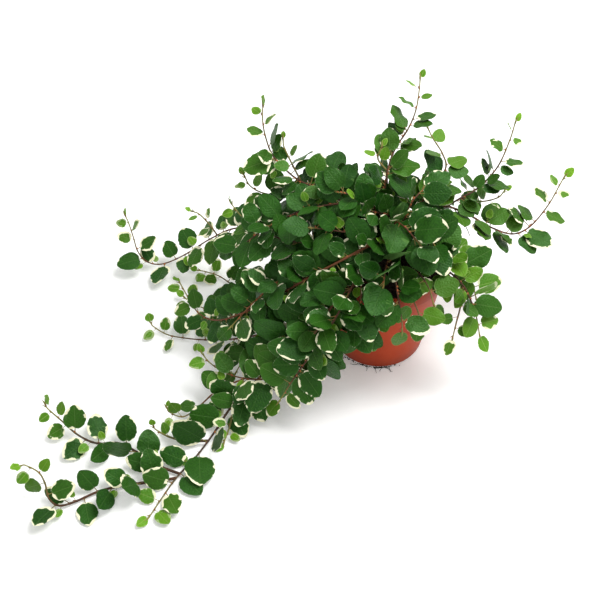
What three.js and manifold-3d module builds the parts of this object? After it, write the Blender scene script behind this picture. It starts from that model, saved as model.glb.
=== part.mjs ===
// Potted creeping fig with cream-edged leaves: a tapered nursery pot, the soil in it, and the leafy stems
// that stand in the soil. Some stems stay over the pot as a mound, some stand up out of it, and some fall
// over the rim and trail along the surface on which the pot stands.
// Frame: origin at the centre of the pot's underside, +Z up, -Y towards the front, millimetres.
import * as THREE from "three";
import { mergeVertices } from "three/addons/utils/BufferGeometryUtils.js";
import Module from "manifold-3d";

const wasm = await Module();
wasm.setup();

const rad = THREE.MathUtils.degToRad;
const clamp = THREE.MathUtils.clamp;
const mix = THREE.MathUtils.lerp;
const vec = (x, y, z) => new THREE.Vector3(x, y, z);

// Pot
const RIM_RADIUS = 60;
const NECK_RADIUS = 56.5;
const FOOT_RADIUS = 44;
const POT_HEIGHT = 115;
const LIP_FOOT = 99;
const WALL = 2;
const FLOOR = 3;
const EDGE = 1;
const POT_SIDES = 32;
const DRAIN_HOLES = 6;
const DRAIN_RADIUS = 4;
const DRAIN_RING = 30;
const DRAIN_SIDES = 8;

// Soil
const SOIL_TOP = 104;
const SOIL_GAP = 0.4;
const SOIL_HEAP = 1.5;
const HOLE_GAP = 0.3;
const HOLE_SIDES = 4;

// Stems
const STEM_RADIUS = 1.3;
const TIP_RADIUS = 0.8;
const BRANCH_SHARE = 0.85;
const STEM_SIDES = 4;
const STEM_STEP = 22;
const ROUTE_STEPS = 8;

// Leaves: how far apart, how many of each run the solids have, how large, and how they grow out of a stem. Angles
// are in degrees, ranges low to high.
const LEAF_GAP = 12.6;
const LEAF_RUN = 4;
const LEAVES_KEPT = 2;
const TIP_GAP_SHARE = 0.6;
const TIP_CLEAR = 1;
const LEAF_LENGTH = 20;
const BRANCH_LEAVES = 0.82;
const TIP_SHARE = 0.38;
const YOUNG_LENGTH = 46;
const SIZE_RANGE = [0.78, 1.22];
const WIDTH_RANGE = [0.79, 0.93];
const WAVE_RANGE = [0.92, 1.08];
const DROOP_RANGE = [0.02, 0.22];
const CUP_RANGE = [-0.12, 0.38];
const FORWARD = 28;
const TIP_FORWARD = 75;
const RISE = 8;
const FORWARD_RANGE = [-52, 52];
const RISE_RANGE = [-34, 52];
const ROLL_RANGE = [-57, 57];
const FIRST_SPREAD = 0.35;
const SPREAD_STEP = 0.05;
const LEAN_OUT = 0.55;
const LEAN_FRONT = 0.5;

// The blade and its stalk
const BLADE_THICKNESS = 0.7;
const LOW_POWER = 0.75;
const ROUND_POWER = 0.56;
const SMALL_LEAF = 22;
const SMALL_ROWS = [0.22, 0.72];
const LARGE_ROWS = [0.14, 0.48, 0.82];
const STALK = 3.5;
const STALK_SHARE = 0.7;
const STALK_GROWTH = 0.4;
const STALK_STEP = 0.35;
const STALK_HALF = 0.45;
const ROOT_HALF = 0.3;

// How near a leaf may come to what is around it, and where on it that is tested
const TRIES = 20;
const BLADE_MARGIN = 1.8;
const TWIG_MARGIN = 2.6;
const POT_MARGIN = 2.5;
const TABLE_MARGIN = 1.2;
const REACH_MARGIN = 10;
const TEST_STALK = [-0.7, -0.35];
const TEST_ROWS = [0.05, 0.25, 0.45, 0.65, 0.85];
const TEST_SIDES = [-1, -0.5, 0, 0.5, 1];
const END_ROWS = [0.08, 0.92];

const MERGE_DISTANCE = 1e-3;
const JOIN_TOLERANCE = 0.02;
const SEED_STEP = 1000;
const BRANCH_SEEDS = 10;

// Each stem's path goes from its root in the soil through the points that it passes, and a branch starts on its
// stem. Ripe tells how full-grown its ends are, large how large its leaves are, and girth how thick it is.
const STEMS = [
  {
    name: "trail_front_left", // the longest, down over the rim and along the surface, with its branches
    large: 1.32, girth: 1.3,
    path: [[-22, -26, 92], [-26, -32, 112], [-50, -53, 122], [-73, -67, 92], [-94, -76, 58],
      [-117, -86, 32], [-137, -100, 17], [-153, -123, 7], [-167, -145, 4], [-184, -168, 3],
      [-196, -190, 2.5], [-203.9, -205.7, 2.3]],
    branches: [
      [[-184, -168, 3], [-205, -172, 3], [-227, -175, 3], [-249, -181, 3], [-268, -191, 3], [-281, -197, 6],
        [-289, -194, 13], [-292, -185, 22], [-297, -179, 30], [-307, -176, 36], [-310.1, -177, 37.7]],
      [[-181, -164, 3], [-203, -155, 4], [-222, -142, 5], [-238, -134, 6], [-258, -134, 6], [-275, -127, 9],
        [-290, -117, 17], [-301, -111, 26], [-302.9, -109.1, 29.5]],
      [[-117, -86, 32], [-134, -104, 18], [-140, -120, 8], [-143.9, -131.6, 4.8]],
      [[-158, -131, 5], [-178, -131, 5], [-194, -127, 6], [-205, -123, 11], [-207.2, -121.1, 14]],
    ],
  },
  {
    name: "trail_left_front", // runs beside the longest one and curls up at its end
    large: 1.2,
    path: [[-14, -30, 92], [-17, -36, 112], [-36, -58, 126], [-54, -74, 112], [-66, -82, 90],
      [-82, -90, 66], [-103, -92, 47], [-125, -86, 38], [-144, -75, 32], [-158, -67, 36],
      [-164.9, -63.2, 44.8]],
    branches: [
      [[-125, -86, 38], [-150, -88, 24], [-168, -98, 12], [-182, -106, 7], [-194, -105, 12],
        [-196.5, -102.9, 15.7]],
    ],
  },
  {
    name: "trail_left", // arches over the top of the mound and down to the left
    large: 1.05, girth: 1.1,
    path: [[14, -8, 92], [12, -10, 120], [8, -14, 146], [-14, -30, 153], [-43, -42, 144], [-70, -45, 126],
      [-92, -44, 106], [-120, -42, 82], [-150, -34, 58], [-170, -16, 45], [-181, 0, 48], [-189, 10, 58],
      [-190.4, 11.4, 61.1]],
    branches: [],
  },
  {
    name: "trail_left_low",
    large: 1.1,
    path: [[-30, -18, 92], [-36, -22, 112], [-56, -40, 121], [-78, -54, 98], [-104, -50, 62],
      [-132, -34, 32], [-159, -20, 12], [-183, -12, 4], [-205, -7, 4], [-219, -1, 9], [-222.1, 1.2, 12.9]],
    branches: [],
  },
  {
    name: "trail_left_back",
    large: 1.1,
    path: [[-36, -6, 92], [-42, -8, 112], [-62, -20, 121], [-82, -20, 98], [-100, -2, 64], [-120, 24, 30],
      [-139, 51, 8], [-159, 72, 3], [-174, 79, 2.5], [-181.2, 80.5, 3]],
    branches: [
      [[-112, 12, 44], [-140, 14, 24], [-164, 22, 8], [-184, 34, 4], [-192.5, 40, 6.4]],
    ],
  },
  {
    name: "trail_back_left",
    large: 1.1,
    path: [[-26, 8, 92], [-30, 9, 116], [-48, 8, 131], [-68, 10, 131], [-90, 16, 121], [-112, 34, 104],
      [-138, 62, 82], [-165, 78, 52], [-195, 84, 22], [-218, 83, 10], [-233, 82, 14], [-242, 86, 25],
      [-246, 94, 38], [-250, 101, 52], [-252.6, 103.6, 58.9]],
    branches: [
      [[-158, 75, 60], [-166, 84, 66], [-176, 92, 72], [-182.9, 92.5, 75.7]],
    ],
  },
  {
    name: "shoot_left",
    path: [[-14, 4, 92], [-18, 0, 122], [-38, -12, 140], [-62, -18, 143], [-88, -10, 138], [-112, 8, 133],
      [-127, 21, 135], [-136, 27, 144], [-137.7, 27.7, 147]],
    branches: [],
  },
  {
    name: "shoot_left_back",
    path: [[-16, 18, 92], [-22, 17, 124], [-42, 18, 146], [-68, 28, 150], [-90, 38, 146], [-109, 43, 145],
      [-121, 47, 150], [-125.9, 49.5, 159.9]],
    branches: [],
  },
  {
    name: "shoot_tall_left",
    path: [[-4, 8, 92], [-10, 6, 130], [-28, 6, 158], [-52, 20, 166], [-76, 36, 166], [-90, 46, 172],
      [-101, 54, 182], [-107, 64, 196], [-109, 72, 208], [-108.4, 76.2, 217.6]],
    branches: [
      [[-76, 36, 166], [-84, 50, 176], [-90, 58, 186], [-91, 61.9, 191.4]],
    ],
  },
  {
    name: "shoot_tall_back",
    path: [[4, 16, 92], [2, 14, 130], [-2, 18, 162], [0, 30, 182], [7, 48, 192], [19, 64, 202],
      [26, 78, 212], [29, 92, 223], [29.6, 98.3, 229.8]],
    branches: [
      [[0, 30, 182], [-8, 40, 188], [-5, 47, 195]],
    ],
  },
  {
    name: "shoot_right_back",
    path: [[22, 30, 92], [26, 34, 122], [42, 40, 152], [54, 50, 168], [51, 59, 178], [42, 67, 189],
      [37.3, 70.6, 197.3]],
    branches: [],
  },
  {
    name: "shoot_right",
    large: 1.05,
    path: [[28, 12, 92], [31, 16, 116], [40, 28, 131], [56, 36, 135], [78, 36, 125], [100, 34, 111],
      [123, 36, 100], [140, 42, 105], [155, 53, 121], [164, 62, 138], [167.1, 65.1, 144.3]],
    branches: [
      [[56, 36, 135], [70, 41, 141], [82, 47, 144], [94, 56, 149], [106, 68, 158], [115, 82, 175],
        [118.5, 88.9, 188.9]],
      [[70, 41, 141], [90, 46, 132], [106, 51, 132], [112.1, 54.9, 137]],
    ],
  },
  {
    name: "spray_right_front",
    ripe: 0.5, large: 1.12,
    path: [[30, -14, 92], [36, -20, 114], [50, -34, 126], [66, -44, 116], [76, -52, 98], [81, -58, 84],
      [84, -62, 71]],
    branches: [
      [[66, -44, 116], [64, -56, 104], [61, -64, 90], [59, -69, 75]],
    ],
  },
  {
    name: "spray_front_right",
    ripe: 0.6, large: 1.15,
    path: [[12, -34, 92], [13, -40, 112], [17, -56, 121.5], [25, -67, 110], [28, -70, 97]],
    branches: [],
  },
  {
    name: "spray_front",
    ripe: 0.8, large: 1.15,
    path: [[-4, -36, 92], [-6, -42, 112], [-12, -60, 121], [-20, -70, 104], [-27, -73, 82]],
    branches: [],
  },
  {
    name: "trail_front_low", // fills the corner between the pot and the longest one
    ripe: 0.5, large: 1.25,
    path: [[-10, -16, 92], [-13, -24, 114], [-26, -50, 136], [-41, -74, 121], [-60, -90, 92],
      [-79, -98, 60], [-94, -106, 32]],
    branches: [],
  },
  {
    name: "spray_left_low",
    ripe: 0.6, large: 1.1,
    path: [[-38, -14, 92], [-41, -15, 114], [-58, -30, 126], [-78, -36, 110], [-98, -40, 84],
      [-118, -54, 52], [-135, -70, 26]],
    branches: [],
  },
  {
    name: "spray_left",
    ripe: 0.8, large: 1.1,
    path: [[-15, -8, 92], [-20, -10, 124], [-45, -14, 132], [-72, -30, 124], [-98, -36, 110],
      [-121, -44, 88], [-138, -52, 70]],
    branches: [],
  },
  {
    name: "spray_left_top",
    ripe: 0.9, large: 1.1,
    path: [[-7, 0, 92], [-8, 0, 130], [-16, 2, 162], [-37, 2, 170], [-63, 5, 163], [-89, 5, 151],
      [-113, 0, 136], [-134, -4, 118]],
    branches: [],
  },
  {
    name: "spray_front_left",
    ripe: 0.9, large: 1.15,
    path: [[-17, -20, 92], [-20, -26, 114], [-24, -44, 127], [-24, -62, 125], [-28, -74, 107],
      [-35, -79, 88]],
    branches: [],
  },
  {
    name: "spray_front_middle",
    ripe: 0.8, large: 1.15,
    path: [[3, -29, 92], [4, -33, 114], [5, -50, 132], [7, -66, 127], [11, -77, 108], [12, -79, 97]],
    branches: [],
  },
  {
    name: "spray_front_low",
    ripe: 0.6, large: 1.1,
    path: [[16, -24, 92], [18, -28, 114], [26, -43, 130], [34, -54, 125], [39, -61, 112]],
    branches: [],
  },
  {
    name: "spray_right_low",
    ripe: 0.7, large: 1.1,
    path: [[32, -5, 92], [36, -8, 114], [50, -19, 131], [65, -29, 126], [75, -36, 112], [80, -42, 97]],
    branches: [],
  },
  {
    name: "spray_top_middle",
    ripe: 1, large: 1.25,
    path: [[3, -8, 92], [4, -8, 130], [5, -12, 160], [12, -24, 168], [24, -38, 162]],
    branches: [],
  },
  {
    name: "spray_top_back",
    ripe: 1, large: 1.1,
    path: [[-1, 3, 92], [-3, 3, 130], [-10, 2, 163], [-26, 2, 178], [-44, 6, 180]],
    branches: [],
  },
  {
    name: "spray_top_front",
    ripe: 1, large: 1.22,
    path: [[6, -20, 92], [4, -24, 122], [0, -36, 140], [-4, -52, 146], [-6, -66, 140]],
    branches: [],
  },
  {
    name: "spray_top_right",
    ripe: 1, large: 1.15,
    path: [[24, -2, 92], [26, -4, 124], [29, -9, 144], [34, -16, 151], [40, -25, 146]],
    branches: [],
  },
  {
    name: "spray_top",
    ripe: 1, large: 1.15,
    path: [[12, 6, 92], [14, 6, 128], [16, 4, 152], [22, 10, 166], [32, 20, 172]],
    branches: [
      [[14, 6, 128], [6, 2, 152], [-8, -4, 165], [-26, -8, 172]],
    ],
  },
  {
    name: "spray_top_left",
    ripe: 1, large: 1.15,
    path: [[-8, -12, 92], [-12, -14, 126], [-24, -20, 152], [-44, -22, 161], [-66, -18, 161]],
    branches: [],
  },
  {
    name: "spray_back",
    ripe: 0.5, large: 1.05,
    path: [[4, 34, 92], [4, 40, 118], [4, 56, 140], [4, 76, 142], [2, 92, 124], [2, 100, 102]],
    branches: [],
  },
  {
    name: "spray_back_left",
    ripe: 0.5, large: 1.05,
    path: [[-16, 32, 92], [-20, 38, 118], [-34, 54, 142], [-48, 70, 146], [-58, 84, 128], [-62, 92, 104]],
    branches: [],
  },
  {
    name: "spray_back_left_low",
    ripe: 0.5, large: 1.05,
    path: [[-32, 20, 92], [-40, 26, 114], [-58, 38, 126], [-76, 50, 116], [-90, 60, 92], [-98, 68, 66]],
    branches: [],
  },
  {
    name: "spray_back_right",
    ripe: 0.5, large: 1.05,
    path: [[34, 24, 92], [38, 34, 114], [46, 54, 132], [54, 70, 128], [60, 80, 106]],
    branches: [],
  },
  {
    name: "spray_right",
    ripe: 0.5,
    path: [[37, 1, 92], [44, -7, 114], [56, -19, 122], [66, -23, 117], [72, -22, 107], [75, -18, 97]],
    branches: [],
  },
];

// A generator of repeatable draws between 0 and 1.
function seeded(seed) {
  let state = seed >>> 0;
  return () => {
    state = (state + 0x6d2b79f5) >>> 0;
    let mixed = Math.imul(state ^ (state >>> 15), state | 1);
    mixed ^= mixed + Math.imul(mixed ^ (mixed >>> 7), mixed | 61);
    return ((mixed ^ (mixed >>> 14)) >>> 0) / 4294967296;
  };
}

// A smooth route through waypoints: its points, how far along it each one lies, and how the stem grows there.
function routeOf(waypoints, growth) {
  const curve = new THREE.CatmullRomCurve3(waypoints.map((p) => vec(...p)), false, "catmullrom", 0.5);
  const line = curve.getPoints((waypoints.length - 1) * ROUTE_STEPS);
  const reach = [0];
  for (let i = 1; i < line.length; i++) reach.push(reach[i - 1] + line[i].distanceTo(line[i - 1]));
  return { line, reach, length: reach[reach.length - 1], ...growth };
}

// The point and the direction of a route at a distance from its start.
function along(route, distance) {
  let i = 1;
  while (i < route.line.length - 1 && route.reach[i] < distance) i++;
  const share = (distance - route.reach[i - 1]) / (route.reach[i] - route.reach[i - 1]);
  return {
    point: route.line[i - 1].clone().lerp(route.line[i], share),
    direction: route.line[i].clone().sub(route.line[i - 1]).normalize(),
  };
}

// A draw within a range.
const within = (draw, [low, high]) => low + (high - low) * draw();

// How young a stem is at a distance along it: 0 far back, and 1 at the tip of one that is still growing.
function youth(route, distance) {
  return (1 - route.ripe) * clamp(1 - (route.length - distance) / YOUNG_LENGTH, 0, 1);
}

// The side that leaves turn to: up, outwards where they are high, and a little to the front.
function lightAt(point) {
  const reach = Math.max(1, Math.hypot(point.x, point.y));
  const outward = (LEAN_OUT * clamp(point.z / RIM_RADIUS, 0, 1) * Math.min(1, reach / RIM_RADIUS)) / reach;
  return vec(point.x * outward, point.y * outward - LEAN_FRONT, 1).normalize();
}

// A leaf's half width at a share of its length, as a share of its widest: roundish, widest below the middle.
const outline = (share) => Math.pow(Math.sin(Math.PI * Math.pow(clamp(share, 0, 1), LOW_POWER)), ROUND_POWER);

// How far a leaf's surface lies off its own plane: the tip bends down, and the sides bend down or up.
const bend = (leaf, x, y) => (-leaf.droop * x * x - leaf.cup * y * y) / leaf.length;

const inSpace = (leaf, x, y, z) =>
  leaf.base.clone().addScaledVector(leaf.d, x).addScaledVector(leaf.w, y).addScaledVector(leaf.n, z);

// Points spread over a leaf and its stalk, for telling what it is clear of.
function cloudOf(leaf) {
  const points = TEST_STALK.map((share) => inSpace(leaf, share * leaf.stalk, 0, 0));
  points.push(inSpace(leaf, leaf.length, 0, bend(leaf, leaf.length, 0)));
  for (const share of TEST_ROWS) {
    for (const side of TEST_SIDES) {
      const x = share * leaf.length;
      const y = (side * outline(share) * leaf.width) / 2;
      points.push(inSpace(leaf, x, y, bend(leaf, x, y)));
    }
  }
  return points;
}

// A point's height over a leaf's surface, or null where it lies outside the leaf's outline and a margin.
function heightOver(leaf, point, margin) {
  const offset = point.clone().sub(leaf.base);
  const x = offset.dot(leaf.d);
  const y = offset.dot(leaf.w);
  const half = (outline(clamp(x / leaf.length, ...END_ROWS)) * leaf.width) / 2;
  if (x < -margin || x > leaf.length + margin || Math.abs(y) > half + margin) return null;
  return offset.dot(leaf.n) - bend(leaf, x, y);
}

// Whether any of some points is too near to a leaf, or they lie on both sides of it.
function meets(leaf, points, margin) {
  const heights = points.map((p) => heightOver(leaf, p, margin)).filter((h) => h !== null);
  if (heights.some((h) => Math.abs(h) < margin)) return true;
  return heights.some((h) => h < 0) && heights.some((h) => h > 0);
}

// Whether a point lies in the pot, in its wall or too near to it.
function inPot(point) {
  const share = clamp(point.z / LIP_FOOT, 0, 1);
  const radius = point.z > LIP_FOOT - POT_MARGIN ? RIM_RADIUS : mix(FOOT_RADIUS, NECK_RADIUS, share);
  return point.z < POT_HEIGHT + POT_MARGIN && Math.hypot(point.x, point.y) < radius + POT_MARGIN;
}

// Whether a leaf is clear of the pot, the surface below, the leaves placed before it and every stem.
function isClear(leaf, placed, twigs) {
  if (inPot(leaf.root) || leaf.cloud.some((p) => inPot(p) || p.z < TABLE_MARGIN)) return false;
  for (const other of placed) {
    const apart = other.middle.distanceTo(leaf.middle);
    if (apart > (other.length + leaf.length) / 2 + REACH_MARGIN) continue;
    if (meets(other, leaf.cloud, BLADE_MARGIN) || meets(leaf, other.cloud, BLADE_MARGIN)) return false;
  }
  for (const point of twigs) {
    const far = point.distanceTo(leaf.middle) > leaf.length / 2 + REACH_MARGIN;
    if (far || point.distanceTo(leaf.root) < leaf.stalk) continue;
    const height = heightOver(leaf, point, TWIG_MARGIN);
    if (height !== null && Math.abs(height) < TWIG_MARGIN) return false;
  }
  return true;
}

// A leaf on one side of a stem, in the pose of one try. Later tries turn it further from its usual pose.
function leafAt(route, distance, side, tip, turn, draw) {
  const { point, direction } = along(route, distance);
  const size = route.large * mix(1, TIP_SHARE, youth(route, distance)) * within(draw, SIZE_RANGE);
  const spread = FIRST_SPREAD + SPREAD_STEP * turn;
  const forward = rad((tip ? TIP_FORWARD : FORWARD) + spread * within(draw, FORWARD_RANGE));
  const rise = rad(RISE + spread * within(draw, RISE_RANGE));
  const roll = rad(spread * within(draw, ROLL_RANGE));
  const light = lightAt(point);
  const aside = light.clone().cross(direction).normalize().multiplyScalar(side);
  const flat = aside.multiplyScalar(Math.cos(forward)).addScaledVector(direction, Math.sin(forward));
  flat.normalize();
  const over = light.clone().addScaledVector(flat, -light.dot(flat)).normalize();
  const d = flat.clone().multiplyScalar(Math.cos(rise)).addScaledVector(over, Math.sin(rise));
  const n = over.multiplyScalar(Math.cos(rise)).addScaledVector(flat, -Math.sin(rise));
  n.applyAxisAngle(d, roll);
  const leaf = { distance, root: point, d, n, w: n.clone().cross(d), length: LEAF_LENGTH * size };
  leaf.width = leaf.length * within(draw, WIDTH_RANGE);
  leaf.droop = within(draw, DROOP_RANGE);
  leaf.cup = within(draw, CUP_RANGE);
  leaf.stalk = STALK * (STALK_SHARE + STALK_GROWTH * size) + STALK_STEP * turn;
  leaf.base = point.clone().addScaledVector(d, leaf.stalk);
  leaf.middle = inSpace(leaf, leaf.length / 2, 0, 0);
  leaf.cloud = cloudOf(leaf);
  return leaf;
}

// Sets a route's leaves alternately left and right, from its tip back, each in its first pose that is clear.
// Of each run of leaves only the first few are kept.
function setLeaves(route, seed, placed, twigs) {
  const leaves = [];
  let distance = route.length - TIP_CLEAR;
  for (let i = 0; distance > STALK * 2; i++) {
    const draw = seeded(seed + i);
    const tries = i % LEAF_RUN < LEAVES_KEPT ? TRIES : 0;
    for (let turn = 0; turn < tries; turn++) {
      const leaf = leafAt(route, distance, i % 2 ? 1 : -1, i === 0, turn, draw);
      if (!isClear(leaf, placed, twigs)) continue;
      placed.push(leaf);
      leaves.push(leaf);
      break;
    }
    distance -= LEAF_GAP * mix(1, TIP_GAP_SHARE, youth(route, distance));
  }
  return leaves;
}

// A closed solid from a geometry, with its shared vertices merged and its empty triangles left out.
function solidOf(geometry) {
  geometry.deleteAttribute("normal");
  geometry.deleteAttribute("uv");
  const merged = mergeVertices(geometry, MERGE_DISTANCE);
  const index = merged.index.array;
  const triangles = [];
  for (let i = 0; i < index.length; i += 3) {
    const corners = Array.from(index.subarray(i, i + 3));
    if (new Set(corners).size === 3) triangles.push(...corners);
  }
  const vertProperties = merged.attributes.position.array;
  const triVerts = Uint32Array.from(triangles);
  return new wasm.Manifold(new wasm.Mesh({ numProp: 3, vertProperties, triVerts }));
}

function geometryOf(points, triangles) {
  const geometry = new THREE.BufferGeometry();
  geometry.setAttribute("position", new THREE.Float32BufferAttribute(points.flatMap((p) => p.toArray()), 3));
  geometry.setIndex(triangles.flat());
  return geometry;
}

function meshOf(name, solid, material) {
  const { vertProperties, triVerts } = solid.getMesh();
  const geometry = new THREE.BufferGeometry();
  geometry.setAttribute("position", new THREE.BufferAttribute(vertProperties, 3));
  geometry.setIndex(new THREE.BufferAttribute(triVerts, 1));
  geometry.computeVertexNormals();
  const mesh = new THREE.Mesh(geometry, material);
  mesh.name = name;
  return mesh;
}

// A stem's rod: the ring centres along its route. The stretch in the soil is straight, to fit its hole.
function rodOf(route, thick, rooted) {
  const start = rooted ? route.reach[ROUTE_STEPS] : 0;
  const count = Math.max(2, Math.round((route.length - start) / STEM_STEP));
  const stations = rooted ? [0] : [];
  for (let i = 0; i <= count; i++) stations.push(mix(start, route.length, i / count));
  return { stations, thick, centres: stations.map((station) => along(route, station).point) };
}

// The point on a rod's straight stretches at a distance along its route.
function onRod(rod, distance) {
  let i = 1;
  while (i < rod.stations.length - 1 && rod.stations[i] < distance) i++;
  const share = (distance - rod.stations[i - 1]) / (rod.stations[i] - rod.stations[i - 1]);
  return rod.centres[i - 1].clone().lerp(rod.centres[i], clamp(share, 0, 1));
}

// A rod's solid: square rings that turn with the route as little as they can and taper towards the tip.
function rodSolid(rod) {
  const { centres, stations, thick } = rod;
  const last = centres.length - 1;
  const points = [];
  let across = vec(0, 1, 0);
  centres.forEach((centre, i) => {
    const direction = centres[Math.min(i + 1, last)].clone().sub(centres[Math.max(i - 1, 0)]).normalize();
    across = across.addScaledVector(direction, -across.dot(direction)).normalize();
    const over = direction.clone().cross(across);
    const radius = mix(thick, TIP_RADIUS, stations[i] / stations[last]);
    for (let side = 0; side < STEM_SIDES; side++) {
      const angle = (2 * Math.PI * side) / STEM_SIDES;
      const point = centre.clone().addScaledVector(across, radius * Math.cos(angle));
      points.push(point.addScaledVector(over, radius * Math.sin(angle)));
    }
  });
  const triangles = [[0, 2, 1], [0, 3, 2]];
  for (let ring = 0; ring < last; ring++) {
    for (let side = 0; side < STEM_SIDES; side++) {
      const [a, b] = [ring * STEM_SIDES + side, ring * STEM_SIDES + ((side + 1) % STEM_SIDES)];
      triangles.push([a, b, b + STEM_SIDES], [a, b + STEM_SIDES, a + STEM_SIDES]);
    }
  }
  const top = last * STEM_SIDES;
  triangles.push([top, top + 1, top + 2], [top, top + 2, top + 3]);
  return solidOf(geometryOf(points, triangles));
}

// A leaf's solid: a thin arched blade with a waved edge, on a stalk whose root lies inside the stem's rod.
function leafSolid(leaf, rod, draw) {
  const shares = leaf.length < SMALL_LEAF ? SMALL_ROWS : LARGE_ROWS;
  const half = BLADE_THICKNESS / 2;
  const rows = shares.map((share) => {
    const y = (outline(share) * leaf.width) / 2;
    const sides = [-y * within(draw, WAVE_RANGE), 0, y * within(draw, WAVE_RANGE)];
    return sides.map((side) => [share * leaf.length, side]);
  });
  const flat = [[0, -STALK_HALF], [0, STALK_HALF], ...rows.flat(), [leaf.length, 0]];
  const root = onRod(rod, leaf.distance);
  const points = [half, -half].flatMap((face) => [
    root.clone().addScaledVector(leaf.w, -ROOT_HALF).addScaledVector(leaf.n, face),
    root.clone().addScaledVector(leaf.w, ROOT_HALF).addScaledVector(leaf.n, face),
    ...flat.map(([x, y]) => inSpace(leaf, x, y, bend(leaf, x, y) + face)),
  ]);
  // Corners on one face: 0 and 1 at the root, 2 and 3 at the blade's foot, then three a row, then the tip.
  const top = [[0, 2, 3], [0, 3, 1], [2, 4, 5], [2, 5, 3], [3, 5, 6]];
  for (let row = 4; row < 3 * rows.length + 1; row += 3) {
    for (const a of [row, row + 1]) top.push([a, a + 3, a + 4], [a, a + 4, a + 1]);
  }
  const tip = 3 * rows.length + 4;
  top.push([tip - 3, tip, tip - 2], [tip - 2, tip, tip - 1]);
  const left = rows.map((_, i) => 4 + 3 * i);
  const right = rows.map((_, i) => 6 + 3 * i).reverse();
  const rim = [0, 2, ...left, tip, ...right, 3, 1];
  const count = tip + 1;
  const under = top.map(([a, b, c]) => [a + count, c + count, b + count]);
  const edge = rim.flatMap((a, i) => {
    const b = rim[(i + 1) % rim.length];
    return [[a, a + count, b + count], [a, b + count, b]];
  });
  return solidOf(geometryOf(points, [...top, ...under, ...edge]));
}

// A closed solid of revolution about the Z axis, from points given as radius and height.
function turned(profile, sides) {
  const lathe = new THREE.LatheGeometry(profile.map(([r, z]) => new THREE.Vector2(r, z)), sides);
  return solidOf(lathe.rotateX(Math.PI / 2));
}

// The pot: a tapered wall under a wider lip, and a floor with a ring of drain holes.
function potSolid() {
  const inside = RIM_RADIUS - WALL;
  let pot = turned([
    [0, 0], [FOOT_RADIUS - EDGE, 0], [FOOT_RADIUS, EDGE],
    [NECK_RADIUS, LIP_FOOT], [RIM_RADIUS - EDGE, LIP_FOOT], [RIM_RADIUS, LIP_FOOT + EDGE],
    [RIM_RADIUS, POT_HEIGHT - EDGE], [RIM_RADIUS - EDGE, POT_HEIGHT], [inside, POT_HEIGHT - EDGE],
    [inside, LIP_FOOT + WALL], [NECK_RADIUS - WALL, LIP_FOOT - WALL],
    [FOOT_RADIUS - WALL, FLOOR], [0, FLOOR],
  ], POT_SIDES);
  for (let i = 0; i < DRAIN_HOLES; i++) {
    const angle = (2 * Math.PI * i) / DRAIN_HOLES;
    const drill = new THREE.CylinderGeometry(DRAIN_RADIUS, DRAIN_RADIUS, FLOOR * 4, DRAIN_SIDES);
    drill.rotateX(Math.PI / 2);
    drill.translate(DRAIN_RING * Math.cos(angle), DRAIN_RING * Math.sin(angle), 0);
    pot = pot.subtract(solidOf(drill));
  }
  return pot;
}

// The soil: it fills the pot to a little under the rim, with a plain hole for each stem that stands in it.
function soilSolid(rods) {
  let soil = turned([
    [0, FLOOR], [FOOT_RADIUS - WALL - SOIL_GAP, FLOOR],
    [NECK_RADIUS - WALL - SOIL_GAP, LIP_FOOT - WALL],
    [RIM_RADIUS - WALL - SOIL_GAP, LIP_FOOT + WALL + SOIL_GAP],
    [RIM_RADIUS - WALL - SOIL_GAP, SOIL_TOP], [0, SOIL_TOP + SOIL_HEAP],
  ], POT_SIDES / 2);
  for (const { centres, thick } of rods) {
    const direction = centres[1].clone().sub(centres[0]).normalize();
    const length = centres[1].distanceTo(centres[0]) + HOLE_GAP;
    const radius = (thick + HOLE_GAP) / Math.cos(Math.PI / HOLE_SIDES);
    const hole = new THREE.CylinderGeometry(radius, radius, length, HOLE_SIDES);
    hole.applyQuaternion(new THREE.Quaternion().setFromUnitVectors(vec(0, 1, 0), direction));
    hole.translate(...centres[0].clone().addScaledVector(direction, length / 2 - HOLE_GAP).toArray());
    soil = soil.subtract(solidOf(hole));
  }
  return soil;
}

// The point of some rods that lies nearest to a given one.
function nearestOn(rods, point) {
  const middles = rods.flatMap(({ centres }) => centres.slice(1).map((end, i) =>
    new THREE.Line3(centres[i], end).closestPointToPoint(point, true, vec(0, 0, 0))));
  return middles.sort((a, b) => a.distanceTo(point) - b.distanceTo(point))[0];
}

// Each stem's routes and rods, its own first and then those of its branches, which start on rods before them.
function planStem({ path, branches, ripe = 0, large = 1, girth = 1 }) {
  const routes = [routeOf(path, { ripe, large })];
  const rods = [rodOf(routes[0], STEM_RADIUS * girth, true)];
  for (const branch of branches) {
    const start = nearestOn(rods, vec(...branch[0])).toArray();
    const route = routeOf([start, ...branch.slice(1)], { ripe, large: large * BRANCH_LEAVES });
    routes.push(route);
    rods.push(rodOf(route, STEM_RADIUS * girth * BRANCH_SHARE, false));
  }
  return { routes, rods };
}

const potMaterial = new THREE.MeshStandardMaterial({ color: 0x8d3c21, roughness: 0.5, metalness: 0 });
const soilMaterial = new THREE.MeshStandardMaterial({ color: 0x2b1d14, roughness: 1, metalness: 0 });
const leafMaterial = new THREE.MeshStandardMaterial({ color: 0x2f6b33, roughness: 0.45, metalness: 0 });

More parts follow.
